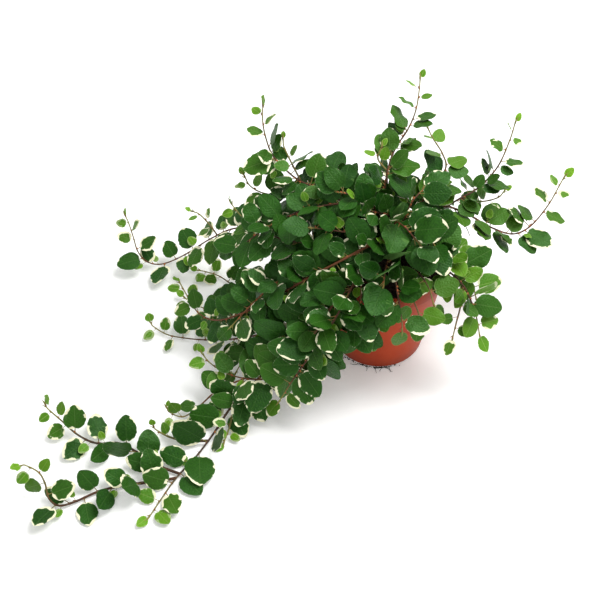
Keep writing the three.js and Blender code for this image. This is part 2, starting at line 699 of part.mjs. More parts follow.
const plans = STEMS.map(planStem);
const twigs = plans.flatMap(({ routes }) => routes.flatMap(({ line }) => line));
const placed = [];
const group = new THREE.Group();
group.add(meshOf("pot", potSolid(), potMaterial));
group.add(meshOf("soil", soilSolid(plans.map(({ rods }) => rods[0])), soilMaterial));
STEMS.forEach(({ name }, stem) => {
  const { routes, rods } = plans[stem];
  let solid = rods.map(rodSolid).reduce((whole, rod) => whole.add(rod));
  routes.forEach((route, i) => {
    const seed = SEED_STEP * (BRANCH_SEEDS * stem + i);
    const wave = seeded(seed + SEED_STEP / 2);
    for (const leaf of setLeaves(route, seed, placed, twigs)) {
      solid = solid.add(leafSolid(leaf, rods[i], wave));
    }
  });
  group.add(meshOf(name, solid.asOriginal().simplify(JOIN_TOLERANCE), leafMaterial));
});

export default group;
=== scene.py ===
# A potted creeping fig with cream-edged leaves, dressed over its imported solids: every leaf with its veins, its
# crinkled edge and cream patches, the stems with their bark, stalks, buds and rootlets, the moulded pot and the
# soil in it.
# Frame: origin at the centre of the pot's underside, +Z up, -Y towards the front. The plant is worked out in
# millimetres and put into Blender in metres.
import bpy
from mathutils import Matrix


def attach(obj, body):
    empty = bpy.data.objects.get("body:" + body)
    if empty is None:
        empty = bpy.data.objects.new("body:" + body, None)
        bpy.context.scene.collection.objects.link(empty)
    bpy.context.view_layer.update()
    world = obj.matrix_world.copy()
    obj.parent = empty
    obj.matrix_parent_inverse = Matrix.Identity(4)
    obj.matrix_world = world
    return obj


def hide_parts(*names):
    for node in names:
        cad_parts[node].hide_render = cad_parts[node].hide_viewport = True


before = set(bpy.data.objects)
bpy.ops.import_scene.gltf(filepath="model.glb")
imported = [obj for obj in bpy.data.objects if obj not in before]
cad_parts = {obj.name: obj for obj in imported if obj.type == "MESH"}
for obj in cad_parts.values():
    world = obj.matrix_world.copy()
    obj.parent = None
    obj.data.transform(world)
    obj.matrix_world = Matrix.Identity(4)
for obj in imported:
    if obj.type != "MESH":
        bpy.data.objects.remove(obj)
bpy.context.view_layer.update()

import math
from itertools import combinations
from types import SimpleNamespace

import bpy
import numpy as np
from mathutils import Matrix

MM = 0.001
FULL_TURN = 2 * math.pi

# Pot, as the solids have it
RIM_RADIUS = 60
NECK_RADIUS = 56.5
FOOT_RADIUS = 44
POT_HEIGHT = 115
LIP_FOOT = 99
WALL = 2
FLOOR = 3
DRAIN_HOLES = 6
DRAIN_RADIUS = 4
DRAIN_RING = 30

# Soil
SOIL_TOP = 104
SOIL_GAP = 0.4
SOIL_HEAP = 1.5

# Stems, and the straight stretches that the solids' stems have, on which branches start
STEM_STEP = 22
ROUTE_STEPS = 8
FINE_STEPS = 16
STEM_THICK = 0.98
TIP_THICK = 0.55
BRANCH_SHARE = 0.85

# Leaves: how far apart, how large, and how they grow out of a stem. Angles are in degrees, ranges low to high.
LEAF_GAP = 12.6
LEAF_RUN = 4
TIP_GAP_SHARE = 0.6
TIP_CLEAR = 1
LEAF_LENGTH = 20
BRANCH_LEAVES = 0.82
TIP_SHARE = 0.38
YOUNG_LENGTH = 46
SIZE_RANGE = (0.78, 1.22)
WIDTH_RANGE = (0.79, 0.93)
DROOP_RANGE = (0.02, 0.22)
CUP_RANGE = (-0.12, 0.38)
FORWARD = 28
TIP_FORWARD = 75
RISE = 8
FORWARD_RANGE = (-52, 52)
RISE_RANGE = (-34, 52)
ROLL_RANGE = (-57, 57)
FIRST_SPREAD = 0.35
SPREAD_STEP = 0.05
LEAN_OUT = 0.55
LEAN_FRONT = 0.5
LOW_POWER = 0.75
ROUND_POWER = 0.56
STALK = 3.5
STALK_SHARE = 0.7
STALK_GROWTH = 0.4
STALK_STEP = 0.35

# How near a leaf may come to what is around it, and where on it that is tested
TRIES = 20
POT_MARGIN = 2.5
TABLE_MARGIN = 1.2
REACH_MARGIN = 10
TEST_STALK = np.array([-0.7, -0.35])
TEST_ROWS = np.array([0.05, 0.25, 0.45, 0.65, 0.85])
TEST_SIDES = np.array([-1, -0.5, 0, 0.5, 1])
END_ROWS = (0.08, 0.92)
SEED_STEP = 1000
BRANCH_SEEDS = 10

# The rounds in which leaves are set: the first is the solids' own, the second completes it, the next two fill in
# between, and the last sets small young leaves at older nodes. Each has its seed, which leaves of a run it sets,
# how far it is shifted along a stem, how large its leaves are, how near they may come to other blades and to
# twigs, how far out it goes, and how young a stem may be there.
EVERYWHERE = 1e9
ROUND_KEYS = ("seed", "turns", "shift", "size", "blade", "twig", "reach", "youth")
ROUNDS = [SimpleNamespace(**dict(zip(ROUND_KEYS, row))) for row in (
    (0, (0, 1), 0.0, 1.0, 1.8, 2.6, EVERYWHERE, 1.0),
    (300, (2, 3), 0.0, 1.0, 1.0, 1.5, EVERYWHERE, 1.0),
    (500, (0, 1, 2, 3), 0.5, 0.94, 0.7, 1.1, 150, 0.1),
    (650, (0, 1, 2, 3), 0.25, 0.88, 0.6, 1.0, 115, 0.1),
    (800, (1, 2), 0.4, 0.4, 0.5, 0.8, EVERYWHERE, 0.0),
)]
SPROUT_SIZE = 0.5
SPROUT_YOUTH = 0.85

# Each stem: its name, how ripe its ends are, from 0 for a young tip to 1 for a full-grown one, how large its
# leaves are, how thick it is, and its routes: its own from its root in the soil, and then those of its branches.
STEMS = [
    ("trail_front_left", 0, 1.32, 1.3,
     [(-22, -26, 92), (-26, -32, 112), (-50, -53, 122), (-73, -67, 92), (-94, -76, 58), (-117, -86, 32),
      (-137, -100, 17), (-153, -123, 7), (-167, -145, 4), (-184, -168, 3), (-196, -190, 2.5),
      (-203.9, -205.7, 2.3)],
     [(-184, -168, 3), (-205, -172, 3), (-227, -175, 3), (-249, -181, 3), (-268, -191, 3), (-281, -197, 6),
      (-289, -194, 13), (-292, -185, 22), (-297, -179, 30), (-307, -176, 36), (-310.1, -177, 37.7)],
     [(-181, -164, 3), (-203, -155, 4), (-222, -142, 5), (-238, -134, 6), (-258, -134, 6), (-275, -127, 9),
      (-290, -117, 17), (-301, -111, 26), (-302.9, -109.1, 29.5)],
     [(-117, -86, 32), (-134, -104, 18), (-140, -120, 8), (-143.9, -131.6, 4.8)],
     [(-158, -131, 5), (-178, -131, 5), (-194, -127, 6), (-205, -123, 11), (-207.2, -121.1, 14)]),
    ("trail_left_front", 0, 1.2, 1,
     [(-14, -30, 92), (-17, -36, 112), (-36, -58, 126), (-54, -74, 112), (-66, -82, 90), (-82, -90, 66),
      (-103, -92, 47), (-125, -86, 38), (-144, -75, 32), (-158, -67, 36), (-164.9, -63.2, 44.8)],
     [(-125, -86, 38), (-150, -88, 24), (-168, -98, 12), (-182, -106, 7), (-194, -105, 12),
      (-196.5, -102.9, 15.7)]),
    ("trail_left", 0, 1.05, 1.1,
     [(14, -8, 92), (12, -10, 120), (8, -14, 146), (-14, -30, 153), (-43, -42, 144), (-70, -45, 126),
      (-92, -44, 106), (-120, -42, 82), (-150, -34, 58), (-170, -16, 45), (-181, 0, 48), (-189, 10, 58),
      (-190.4, 11.4, 61.1)]),
    ("trail_left_low", 0, 1.1, 1,
     [(-30, -18, 92), (-36, -22, 112), (-56, -40, 121), (-78, -54, 98), (-104, -50, 62), (-132, -34, 32),
      (-159, -20, 12), (-183, -12, 4), (-205, -7, 4), (-219, -1, 9), (-222.1, 1.2, 12.9)]),
    ("trail_left_back", 0, 1.1, 1,
     [(-36, -6, 92), (-42, -8, 112), (-62, -20, 121), (-82, -20, 98), (-100, -2, 64), (-120, 24, 30),
      (-139, 51, 8), (-159, 72, 3), (-174, 79, 2.5), (-181.2, 80.5, 3)],
     [(-112, 12, 44), (-140, 14, 24), (-164, 22, 8), (-184, 34, 4), (-192.5, 40, 6.4)]),
    ("trail_back_left", 0, 1.1, 1,
     [(-26, 8, 92), (-30, 9, 116), (-48, 8, 131), (-68, 10, 131), (-90, 16, 121), (-112, 34, 104), (-138, 62, 82),
      (-165, 78, 52), (-195, 84, 22), (-218, 83, 10), (-233, 82, 14), (-242, 86, 25), (-246, 94, 38),
      (-250, 101, 52), (-252.6, 103.6, 58.9)],
     [(-158, 75, 60), (-166, 84, 66), (-176, 92, 72), (-182.9, 92.5, 75.7)]),
    ("shoot_left", 0, 1, 1,
     [(-14, 4, 92), (-18, 0, 122), (-38, -12, 140), (-62, -18, 143), (-88, -10, 138), (-112, 8, 133),
      (-127, 21, 135), (-136, 27, 144), (-137.7, 27.7, 147)]),
    ("shoot_left_back", 0, 1, 1,
     [(-16, 18, 92), (-22, 17, 124), (-42, 18, 146), (-68, 28, 150), (-90, 38, 146), (-109, 43, 145),
      (-121, 47, 150), (-125.9, 49.5, 159.9)]),
    ("shoot_tall_left", 0, 1, 1,
     [(-4, 8, 92), (-10, 6, 130), (-28, 6, 158), (-52, 20, 166), (-76, 36, 166), (-90, 46, 172), (-101, 54, 182),
      (-107, 64, 196), (-109, 72, 208), (-108.4, 76.2, 217.6)],
     [(-76, 36, 166), (-84, 50, 176), (-90, 58, 186), (-91, 61.9, 191.4)]),
    ("shoot_tall_back", 0, 1, 1,
     [(4, 16, 92), (2, 14, 130), (-2, 18, 162), (0, 30, 182), (7, 48, 192), (19, 64, 202), (26, 78, 212),
      (29, 92, 223), (29.6, 98.3, 229.8)],
     [(0, 30, 182), (-8, 40, 188), (-5, 47, 195)]),
    ("shoot_right_back", 0, 1, 1,
     [(22, 30, 92), (26, 34, 122), (42, 40, 152), (54, 50, 168), (51, 59, 178), (42, 67, 189),
      (37.3, 70.6, 197.3)]),
    ("shoot_right", 0, 1.05, 1,
     [(28, 12, 92), (31, 16, 116), (40, 28, 131), (56, 36, 135), (78, 36, 125), (100, 34, 111), (123, 36, 100),
      (140, 42, 105), (155, 53, 121), (164, 62, 138), (167.1, 65.1, 144.3)],
     [(56, 36, 135), (70, 41, 141), (82, 47, 144), (94, 56, 149), (106, 68, 158), (115, 82, 175),
      (118.5, 88.9, 188.9)],
     [(70, 41, 141), (90, 46, 132), (106, 51, 132), (112.1, 54.9, 137)]),
    ("spray_right_front", 0.5, 1.12, 1,
     [(30, -14, 92), (36, -20, 114), (50, -34, 126), (66, -44, 116), (76, -52, 98), (81, -58, 84), (84, -62, 71)],
     [(66, -44, 116), (64, -56, 104), (61, -64, 90), (59, -69, 75)]),
    ("spray_front_right", 0.6, 1.15, 1,
     [(12, -34, 92), (13, -40, 112), (17, -56, 121.5), (25, -67, 110), (28, -70, 97)]),
    ("spray_front", 0.8, 1.15, 1,
     [(-4, -36, 92), (-6, -42, 112), (-12, -60, 121), (-20, -70, 104), (-27, -73, 82)]),
    ("trail_front_low", 0.5, 1.25, 1,
     [(-10, -16, 92), (-13, -24, 114), (-26, -50, 136), (-41, -74, 121), (-60, -90, 92), (-79, -98, 60),
      (-94, -106, 32)]),
    ("spray_left_low", 0.6, 1.1, 1,
     [(-38, -14, 92), (-41, -15, 114), (-58, -30, 126), (-78, -36, 110), (-98, -40, 84), (-118, -54, 52),
      (-135, -70, 26)]),
    ("spray_left", 0.8, 1.1, 1,
     [(-15, -8, 92), (-20, -10, 124), (-45, -14, 132), (-72, -30, 124), (-98, -36, 110), (-121, -44, 88),
      (-138, -52, 70)]),
    ("spray_left_top", 0.9, 1.1, 1,
     [(-7, 0, 92), (-8, 0, 130), (-16, 2, 162), (-37, 2, 170), (-63, 5, 163), (-89, 5, 151), (-113, 0, 136),
      (-134, -4, 118)]),
    ("spray_front_left", 0.9, 1.15, 1,
     [(-17, -20, 92), (-20, -26, 114), (-24, -44, 127), (-24, -62, 125), (-28, -74, 107), (-35, -79, 88)]),
    ("spray_front_middle", 0.8, 1.15, 1,
     [(3, -29, 92), (4, -33, 114), (5, -50, 132), (7, -66, 127), (11, -77, 108), (12, -79, 97)]),
    ("spray_front_low", 0.6, 1.1, 1,
     [(16, -24, 92), (18, -28, 114), (26, -43, 130), (34, -54, 125), (39, -61, 112)]),
    ("spray_right_low", 0.7, 1.1, 1,
     [(32, -5, 92), (36, -8, 114), (50, -19, 131), (65, -29, 126), (75, -36, 112), (80, -42, 97)]),
    ("spray_top_middle", 1, 1.25, 1,
     [(3, -8, 92), (4, -8, 130), (5, -12, 160), (12, -24, 168), (24, -38, 162)]),
    ("spray_top_back", 1, 1.1, 1,
     [(-1, 3, 92), (-3, 3, 130), (-10, 2, 163), (-26, 2, 178), (-44, 6, 180)]),
    ("spray_top_front", 1, 1.22, 1,
     [(6, -20, 92), (4, -24, 122), (0, -36, 140), (-4, -52, 146), (-6, -66, 140)]),
    ("spray_top_right", 1, 1.15, 1,
     [(24, -2, 92), (26, -4, 124), (29, -9, 144), (34, -16, 151), (40, -25, 146)]),
    ("spray_top", 1, 1.15, 1,
     [(12, 6, 92), (14, 6, 128), (16, 4, 152), (22, 10, 166), (32, 20, 172)],
     [(14, 6, 128), (6, 2, 152), (-8, -4, 165), (-26, -8, 172)]),
    ("spray_top_left", 1, 1.15, 1,
     [(-8, -12, 92), (-12, -14, 126), (-24, -20, 152), (-44, -22, 161), (-66, -18, 161)]),
    ("spray_back", 0.5, 1.05, 1,
     [(4, 34, 92), (4, 40, 118), (4, 56, 140), (4, 76, 142), (2, 92, 124), (2, 100, 102)]),
    ("spray_back_left", 0.5, 1.05, 1,
     [(-16, 32, 92), (-20, 38, 118), (-34, 54, 142), (-48, 70, 146), (-58, 84, 128), (-62, 92, 104)]),
    ("spray_back_left_low", 0.5, 1.05, 1,
     [(-32, 20, 92), (-40, 26, 114), (-58, 38, 126), (-76, 50, 116), (-90, 60, 92), (-98, 68, 66)]),
    ("spray_back_right", 0.5, 1.05, 1,
     [(34, 24, 92), (38, 34, 114), (46, 54, 132), (54, 70, 128), (60, 80, 106)]),
    ("spray_right", 0.5, 1, 1,
     [(37, 1, 92), (44, -7, 114), (56, -19, 122), (66, -23, 117), (72, -22, 107), (75, -18, 97)]),
]


def seeded(seed):
    """A generator of repeatable draws between 0 and 1."""
    state, full = seed, 0xFFFFFFFF
    while True:
        state = (state + 0x6D2B79F5) & full
        mixed = ((state ^ (state >> 15)) * (state | 1)) & full
        mixed ^= (mixed + (((mixed ^ (mixed >> 7)) * (mixed | 61)) & full)) & full
        yield ((mixed ^ (mixed >> 14)) & full) / (full + 1)


def clamp(value, low, high):
    return max(low, min(high, value))


def mix(start, end, share):
    return start + (end - start) * share


def within(draw, limits):
    return mix(limits[0], limits[1], next(draw))


def unit(vectors):
    """Vectors scaled to length 1."""
    return vectors / np.linalg.norm(vectors, axis=-1, keepdims=True)


def route_of(waypoints, ripe=0, large=1, steps=ROUTE_STEPS):
    """A smooth route through waypoints: on each stretch the cubic whose slope at a waypoint is half the way from
    the waypoint before it to the one after it."""
    inner = np.array(waypoints, float)
    points = np.vstack([2 * inner[0] - inner[1], inner, 2 * inner[-1] - inner[-2]])
    count = len(inner) - 1
    place = np.arange(count * steps + 1) / steps
    first = np.minimum(place.astype(int), count - 1)
    share = (place - first)[:, None]
    before, start, end, after = (points[first + k] for k in range(4))
    slope, last_slope = (end - before) / 2, (after - start) / 2
    square = 3 * (end - start) - 2 * slope - last_slope
    cube = 2 * (start - end) + slope + last_slope
    line = start + slope * share + square * share**2 + cube * share**3
    reach = np.concatenate([[0], np.cumsum(np.linalg.norm(np.diff(line, axis=0), axis=1))])
    return SimpleNamespace(line=line, reach=reach, length=reach[-1], ripe=ripe, large=large)


def along(route, distance):
    """The point and the direction of a route at a distance from its start."""
    i = int(clamp(np.searchsorted(route.reach, distance), 1, len(route.line) - 1))
    share = (distance - route.reach[i - 1]) / (route.reach[i] - route.reach[i - 1])
    step = route.line[i] - route.line[i - 1]
    return route.line[i - 1] + step * share, unit(step)


def youth_at(route, distance):
    """How young a stem is at a distance along it: 0 far back, and 1 at the tip of one that is still growing."""
    return (1 - route.ripe) * clamp(1 - (route.length - distance) / YOUNG_LENGTH, 0, 1)


def light_at(point):
    """The side that leaves turn to: up, outwards where they are high, and a little to the front."""
    reach = max(1, math.hypot(point[0], point[1]))
    outward = LEAN_OUT * clamp(point[2] / RIM_RADIUS, 0, 1) * min(1, reach / RIM_RADIUS) / reach
    return unit(np.array([point[0] * outward, point[1] * outward - LEAN_FRONT, 1.0]))


def outline(share):
    """A leaf's half width at a share of its length, as a share of its widest: the sine of pi times the share to
    LOW_POWER, to ROUND_POWER, which is egg-shaped and widest below the middle."""
    return np.maximum(np.sin(math.pi * np.clip(share, 0, 1) ** LOW_POWER), 0) ** ROUND_POWER


def bend(leaf, x, y):
    """How far a leaf's surface lies off its own plane: the tip bends down, and the sides bend down or up."""
    return (-leaf.droop * x * x - leaf.cup * y * y) / leaf.length


def in_space(leaf, x, y, z):
    x, y, z = (np.asarray(v, float)[..., None] for v in (x, y, z))
    return leaf.base + leaf.d * x + leaf.w * y + leaf.n * z


def cloud_of(leaf):
    """Points spread over a leaf and its stalk, for telling what it is clear of."""
    rows = np.repeat(TEST_ROWS, len(TEST_SIDES))
    x = rows * leaf.length
    y = np.tile(TEST_SIDES, len(TEST_ROWS)) * outline(rows) * leaf.width / 2
    stalk = in_space(leaf, TEST_STALK * leaf.stalk, 0 * TEST_STALK, 0 * TEST_STALK)
    tip = in_space(leaf, leaf.length, 0, bend(leaf, leaf.length, 0))[None]
    return np.vstack([stalk, tip, in_space(leaf, x, y, bend(leaf, x, y))])


def heights_over(leaf, points, margin):
    """The heights over a leaf's surface of those points that lie within its outline and a margin."""
    offset = points - leaf.base
    x, y = offset @ leaf.d, offset @ leaf.w
    half = outline(np.clip(x / leaf.length, *END_ROWS)) * leaf.width / 2
    inside = (x >= -margin) & (x <= leaf.length + margin) & (np.abs(y) <= half + margin)
    return (offset @ leaf.n - bend(leaf, x, y))[inside]


def meets(leaf, points, margin):
    """Whether any of some points is too near to a leaf, or they lie on both sides of it."""
    heights = heights_over(leaf, points, margin)
    return bool((np.abs(heights) < margin).any() or ((heights < 0).any() and (heights > 0).any()))


def in_pot(points):
    """Which points lie in the pot, in its wall or too near to it."""
    z = points[:, 2]
    cone = mix(FOOT_RADIUS, NECK_RADIUS, np.clip(z / LIP_FOOT, 0, 1))
    radius = np.where(z > LIP_FOOT - POT_MARGIN, RIM_RADIUS, cone)
    return (z < POT_HEIGHT + POT_MARGIN) & (np.hypot(points[:, 0], points[:, 1]) < radius + POT_MARGIN)


class Crowd:
    """The leaves placed so far, with their middles and lengths in arrays so that neighbours are found fast."""

    def __init__(self, room):
        self.leaves = []
        self.middles = np.zeros((room, 3))
        self.lengths = np.zeros(room)

    def add(self, leaf):
        self.middles[len(self.leaves)] = leaf.middle
        self.lengths[len(self.leaves)] = leaf.length
        self.leaves.append(leaf)

    def near(self, leaf):
        count = len(self.leaves)
        apart = np.linalg.norm(self.middles[:count] - leaf.middle, axis=1)
        close = apart <= (self.lengths[:count] + leaf.length) / 2 + REACH_MARGIN
        return [self.leaves[i] for i in np.flatnonzero(close)]


def is_clear(leaf, crowd, twigs, margins):
    """Whether a leaf is clear of the pot, the surface below, the leaves placed before it and every stem."""
    if in_pot(leaf.root[None])[0] or in_pot(leaf.cloud).any() or (leaf.cloud[:, 2] < TABLE_MARGIN).any():
        return False
    for other in crowd.near(leaf):
        if meets(other, leaf.cloud, margins.blade) or meets(leaf, other.cloud, margins.blade):
            return False
    near = np.linalg.norm(twigs - leaf.middle, axis=1) <= leaf.length / 2 + REACH_MARGIN
    near &= np.linalg.norm(twigs - leaf.root, axis=1) >= leaf.stalk
    return not (np.abs(heights_over(leaf, twigs[near], margins.twig)) < margins.twig).any()


def leaf_at(route, distance, side, tip, turn, draw):
    """A leaf on one side of a stem, in the pose of one try. Later tries turn it further from its usual pose."""
    point, direction = along(route, distance)
    youth = youth_at(route, distance)
    size = route.large * mix(1, TIP_SHARE, youth) * within(draw, SIZE_RANGE)
    spread = FIRST_SPREAD + SPREAD_STEP * turn
    forward = math.radians((TIP_FORWARD if tip else FORWARD) + spread * within(draw, FORWARD_RANGE))
    rise = math.radians(RISE + spread * within(draw, RISE_RANGE))
    roll = math.radians(spread * within(draw, ROLL_RANGE))
    light = light_at(point)
    aside = unit(np.cross(light, direction)) * side
    flat = unit(aside * math.cos(forward) + direction * math.sin(forward))
    over = unit(light - flat * (light @ flat))
    d = flat * math.cos(rise) + over * math.sin(rise)
    n = over * math.cos(rise) - flat * math.sin(rise)
    n = n * math.cos(roll) + np.cross(d, n) * math.sin(roll)
    leaf = SimpleNamespace(distance=distance, root=point, d=d, n=n, w=np.cross(n, d), youth=youth)
    leaf.along = direction
    leaf.length = LEAF_LENGTH * size
    leaf.width = leaf.length * within(draw, WIDTH_RANGE)
    leaf.droop = within(draw, DROOP_RANGE)
    leaf.cup = within(draw, CUP_RANGE)
    leaf.stalk = STALK * (STALK_SHARE + STALK_GROWTH * size) + STALK_STEP * turn
    place_leaf(leaf)
    return leaf


def place_leaf(leaf):
    """Works out where a leaf's foot, middle and test points are."""
    leaf.base = leaf.root + leaf.d * leaf.stalk
    leaf.middle = in_space(leaf, leaf.length / 2, 0, 0)
    leaf.cloud = cloud_of(leaf)


def set_leaves(route, seed, crowd, twigs, margins):
    """Sets a route's leaves left and right in turn, from its tip back, each in its first pose that is clear."""
    leaves = []
    distance = route.length - TIP_CLEAR
    distance -= margins.shift * LEAF_GAP * mix(1, TIP_GAP_SHARE, youth_at(route, distance))
    i = 0
    while distance > STALK * 2:
        draw = seeded(seed + margins.seed + i)
        point = along(route, distance)[0]
        tip = i == 0 and margins.shift == 0
        wanted = i % LEAF_RUN in margins.turns and youth_at(route, distance) <= margins.youth
        wanted = wanted and math.hypot(point[0], point[1]) < margins.reach
        for turn in range(TRIES if wanted else 0):
            leaf = leaf_at(route, distance, 1 if i % 2 else -1, tip, turn, draw)
            if margins.size < 1:
                leaf.length *= margins.size
                leaf.width *= margins.size
                leaf.youth = max(leaf.youth, SPROUT_YOUTH * (margins.size < SPROUT_SIZE))
                place_leaf(leaf)
            if is_clear(leaf, crowd, twigs, margins):
                crowd.add(leaf)
                leaves.append(leaf)
                break
        distance -= LEAF_GAP * mix(1, TIP_GAP_SHARE, youth_at(route, distance))
        i += 1
    return leaves


def rod_of(route, rooted):
    """The ends of the straight stretches of the solids' stem on a route."""
    start = route.reach[ROUTE_STEPS] if rooted else 0
    count = max(2, int((route.length - start) / STEM_STEP + 0.5))
    stations = ([0] if rooted else []) + [mix(start, route.length, i / count) for i in range(count + 1)]
    return np.array([along(route, station)[0] for station in stations])


def nearest_on(rods, point):
    """The point of some rods that lies nearest to a given one."""
    start, end = np.vstack([rod[:-1] for rod in rods]), np.vstack([rod[1:] for rod in rods])
    step = end - start
    share = np.clip(((point - start) * step).sum(1) / (step * step).sum(1), 0, 1)
    middle = start + step * share[:, None]
    return middle[np.argmin(np.linalg.norm(middle - point, axis=1))]


def plan_stem(name, ripe, large, girth, *paths):
    """A stem's routes: its own first and then those of its branches, which start on the rods before them."""
    waypoints = [paths[0]]
    rods = [rod_of(route_of(paths[0]), True)]
    for path in paths[1:]:
        points = [tuple(nearest_on(rods, np.array(path[0], float)))] + path[1:]
        waypoints.append(points)
        rods.append(rod_of(route_of(points), False))
    sizes = [large] + [large * BRANCH_LEAVES] * (len(paths) - 1)
    return SimpleNamespace(
        name=name, ripe=ripe, girth=girth,
        routes=[route_of(points, ripe, size) for points, size in zip(waypoints, sizes)],
        fine=[route_of(points, steps=FINE_STEPS) for points in waypoints],
    )


def grow():
    """Every stem with its routes and, for each route, its leaves from all rounds."""
    plans = [plan_stem(*stem) for stem in STEMS]
    twigs = np.vstack([route.line for plan in plans for route in plan.routes])
    crowd = Crowd(len(ROUNDS) * len(twigs))
    for plan in plans:
        plan.leaves = [[] for route in plan.routes]
    for margins in ROUNDS:
        for stem, plan in enumerate(plans):
            for branch, route in enumerate(plan.routes):
                seed = SEED_STEP * (BRANCH_SEEDS * stem + branch)
                plan.leaves[branch] += set_leaves(route, seed, crowd, twigs, margins)
    return plans


# The leaf blade in detail: thicknesses in millimetres, depths as shares of its length or half width
ROW_COUNT = 15
SIDE_STATIONS = np.array([-1, -0.6, 0, 0.6, 1])
BLADE_THICKNESS = 0.4
RIB = 0.35
CREASE = 0.03
NOTCH = 0.05
TOOTH_COUNT = 5
TOOTH_DEPTH = 0.09
TOOTH_SHIFT = 0.31
DENT_DEPTH = 0.025
DENT_WAVES = (3.1, 1.7)
RIPPLE = 0.06
RIPPLE_WAVES = 2.6
BLADE_SHARP = 80

# Stalks, buds, nubs at the nodes and aerial rootlets
STALK_SIDES = 6
STALK_RINGS = 6
STALK_THICK = 0.5
STALK_BOW = 0.125
STALK_LEAN = 0.6
STALK_SAG = 0.12
STALK_GREEN = (0.62, 0.3)
TUBE_SIDES = 8
GIRTH_POWER = 1.8
TAPER_POWER = 1.4
NODE_SWELL = 0.18
NODE_WIDTH = 1.6
GREEN_REACH = 60
RIPE_LOSS = 0.85
BUD_PROFILE = np.array([0.8, 1.0, 0.92, 0.7, 0.4, 0.06])
BUD_SIDES = 5
BUD_LENGTH = 6.5
BUD_THICK = 0.95

# The two buds of each tip: how far back from it they stand, their lengths and thicknesses as shares, and for each
# how green it is, its draw and how dry it is
BUD_PLACES = (0.5, 2.5)
BUD_SHARES = np.array([(1, 0.7), (1, 0.6)])
BUD_KINDS = np.array([(1.0, 0.2, 0.0), (0.9, 0.6, 0.0)])

NUB_LENGTH = 2.4
NUB_THICK = 0.75
NUB_SIZES = (0.7, 1.2)
NUB_LEAN = 1.3
ROOTLET_SHARE = 0.35
ROOTLET_YOUTH = 0.6
ROOTLET_LENGTH = (1.5, 4.5)
ROOTLET_THICK = 0.2
ROOTLET_DROP = 0.7
ROOTLET_BOW = 0.35
ROOTLET_GREEN = 0.12
ROOTLET_RINGS = 6
ROOTLET_SIDES = 4

LOOK_SEED = 7100


def put_mesh(name, points, faces, finish, smooth=True, **attributes):
    """A mesh object at the origin from points in millimetres, with its finish and its attributes, each of which
    has a value for every point or for every face."""
    mesh = bpy.data.meshes.new(name)
    mesh.from_pydata(np.asarray(points, float) * MM, [], faces)
    mesh.materials.append(finish)
    if smooth:
        mesh.polygons.foreach_set("use_smooth", np.ones(len(mesh.polygons), bool))
    for key, values in attributes.items():
        values = np.asarray(values, np.float32)
        kind, field = ("FLOAT", "value") if values.ndim == 1 else ("FLOAT_VECTOR", "vector")
        domain = "POINT" if len(values) == len(mesh.vertices) else "FACE"
        mesh.attributes.new(key, kind, domain).data.foreach_set(field, values.ravel())
    mesh.update()
    piece = bpy.data.objects.new(name, mesh)
    bpy.context.scene.collection.objects.link(piece)
    return piece


def grid_faces(rows, columns, wrap=False):
    """The quads of a grid of points, row by row; wrap joins the last column to the first."""
    row, column = np.meshgrid(np.arange(rows - 1), np.arange(columns if wrap else columns - 1), indexing="ij")
    a = row * columns + column
    b = row * columns + (column + 1) % columns
    return np.stack([a, b, b + columns, a + columns], -1).reshape(-1, 4)


def copies(faces, count, size):
    """The faces of some like shapes, each with its own points after those of the one before."""
    shift = (np.arange(count) * size)[:, None, None]
    return [face for part in faces for face in (part[None] + shift).reshape(-1, part.shape[1]).tolist()]


def tubes(centres, radii, sides, *kinds):
    """Closed tubes round many lines at once. A ring's points lie at equal angles in the plane square to its line,
    measured from the direction that the whole line keeps most square to, which is its tangents' least axis. What
    is said of each tube or each ring is given to all its points."""
    tangents = unit(np.gradient(centres, axis=1))
    least = np.linalg.svd(tangents, full_matrices=False)[2][:, -1]
    across = unit(np.cross(np.cross(tangents, least[:, None]), tangents))
    over = np.cross(tangents, across)
    angle = np.linspace(0, FULL_TURN, sides, endpoint=False)
    turn = np.cos(angle)[:, None] * across[:, :, None] + np.sin(angle)[:, None] * over[:, :, None]
    points = (centres[:, :, None] + radii[:, :, None, None] * turn).reshape(-1, 3)
    count, rings = centres.shape[:2]
    first = np.arange(sides)
    parts = [grid_faces(rings, sides, wrap=True), first[None, ::-1], first[None] + (rings - 1) * sides]
    spread = [np.repeat(kind, len(points) // len(kind), axis=0) for kind in kinds]
    return points, copies(parts, count, rings * sides), *spread


def shares(count):
    """Even shares from 0 to 1 along many lines at once."""
    return np.linspace(0, 1, count)[None, :, None]


def join(*shapes):
    """One shape from several: their points, their faces and, where they have it, what is said of each point."""
    start = np.cumsum([0] + [len(shape[0]) for shape in shapes]).tolist()
    faces = [[corner + shift for corner in face] for shape, shift in zip(shapes, start) for face in shape[1]]
    kinds = [np.vstack(kind) for kind in zip(*(shape[2:] for shape in shapes))]
    return np.vstack([shape[0] for shape in shapes]), faces, *kinds


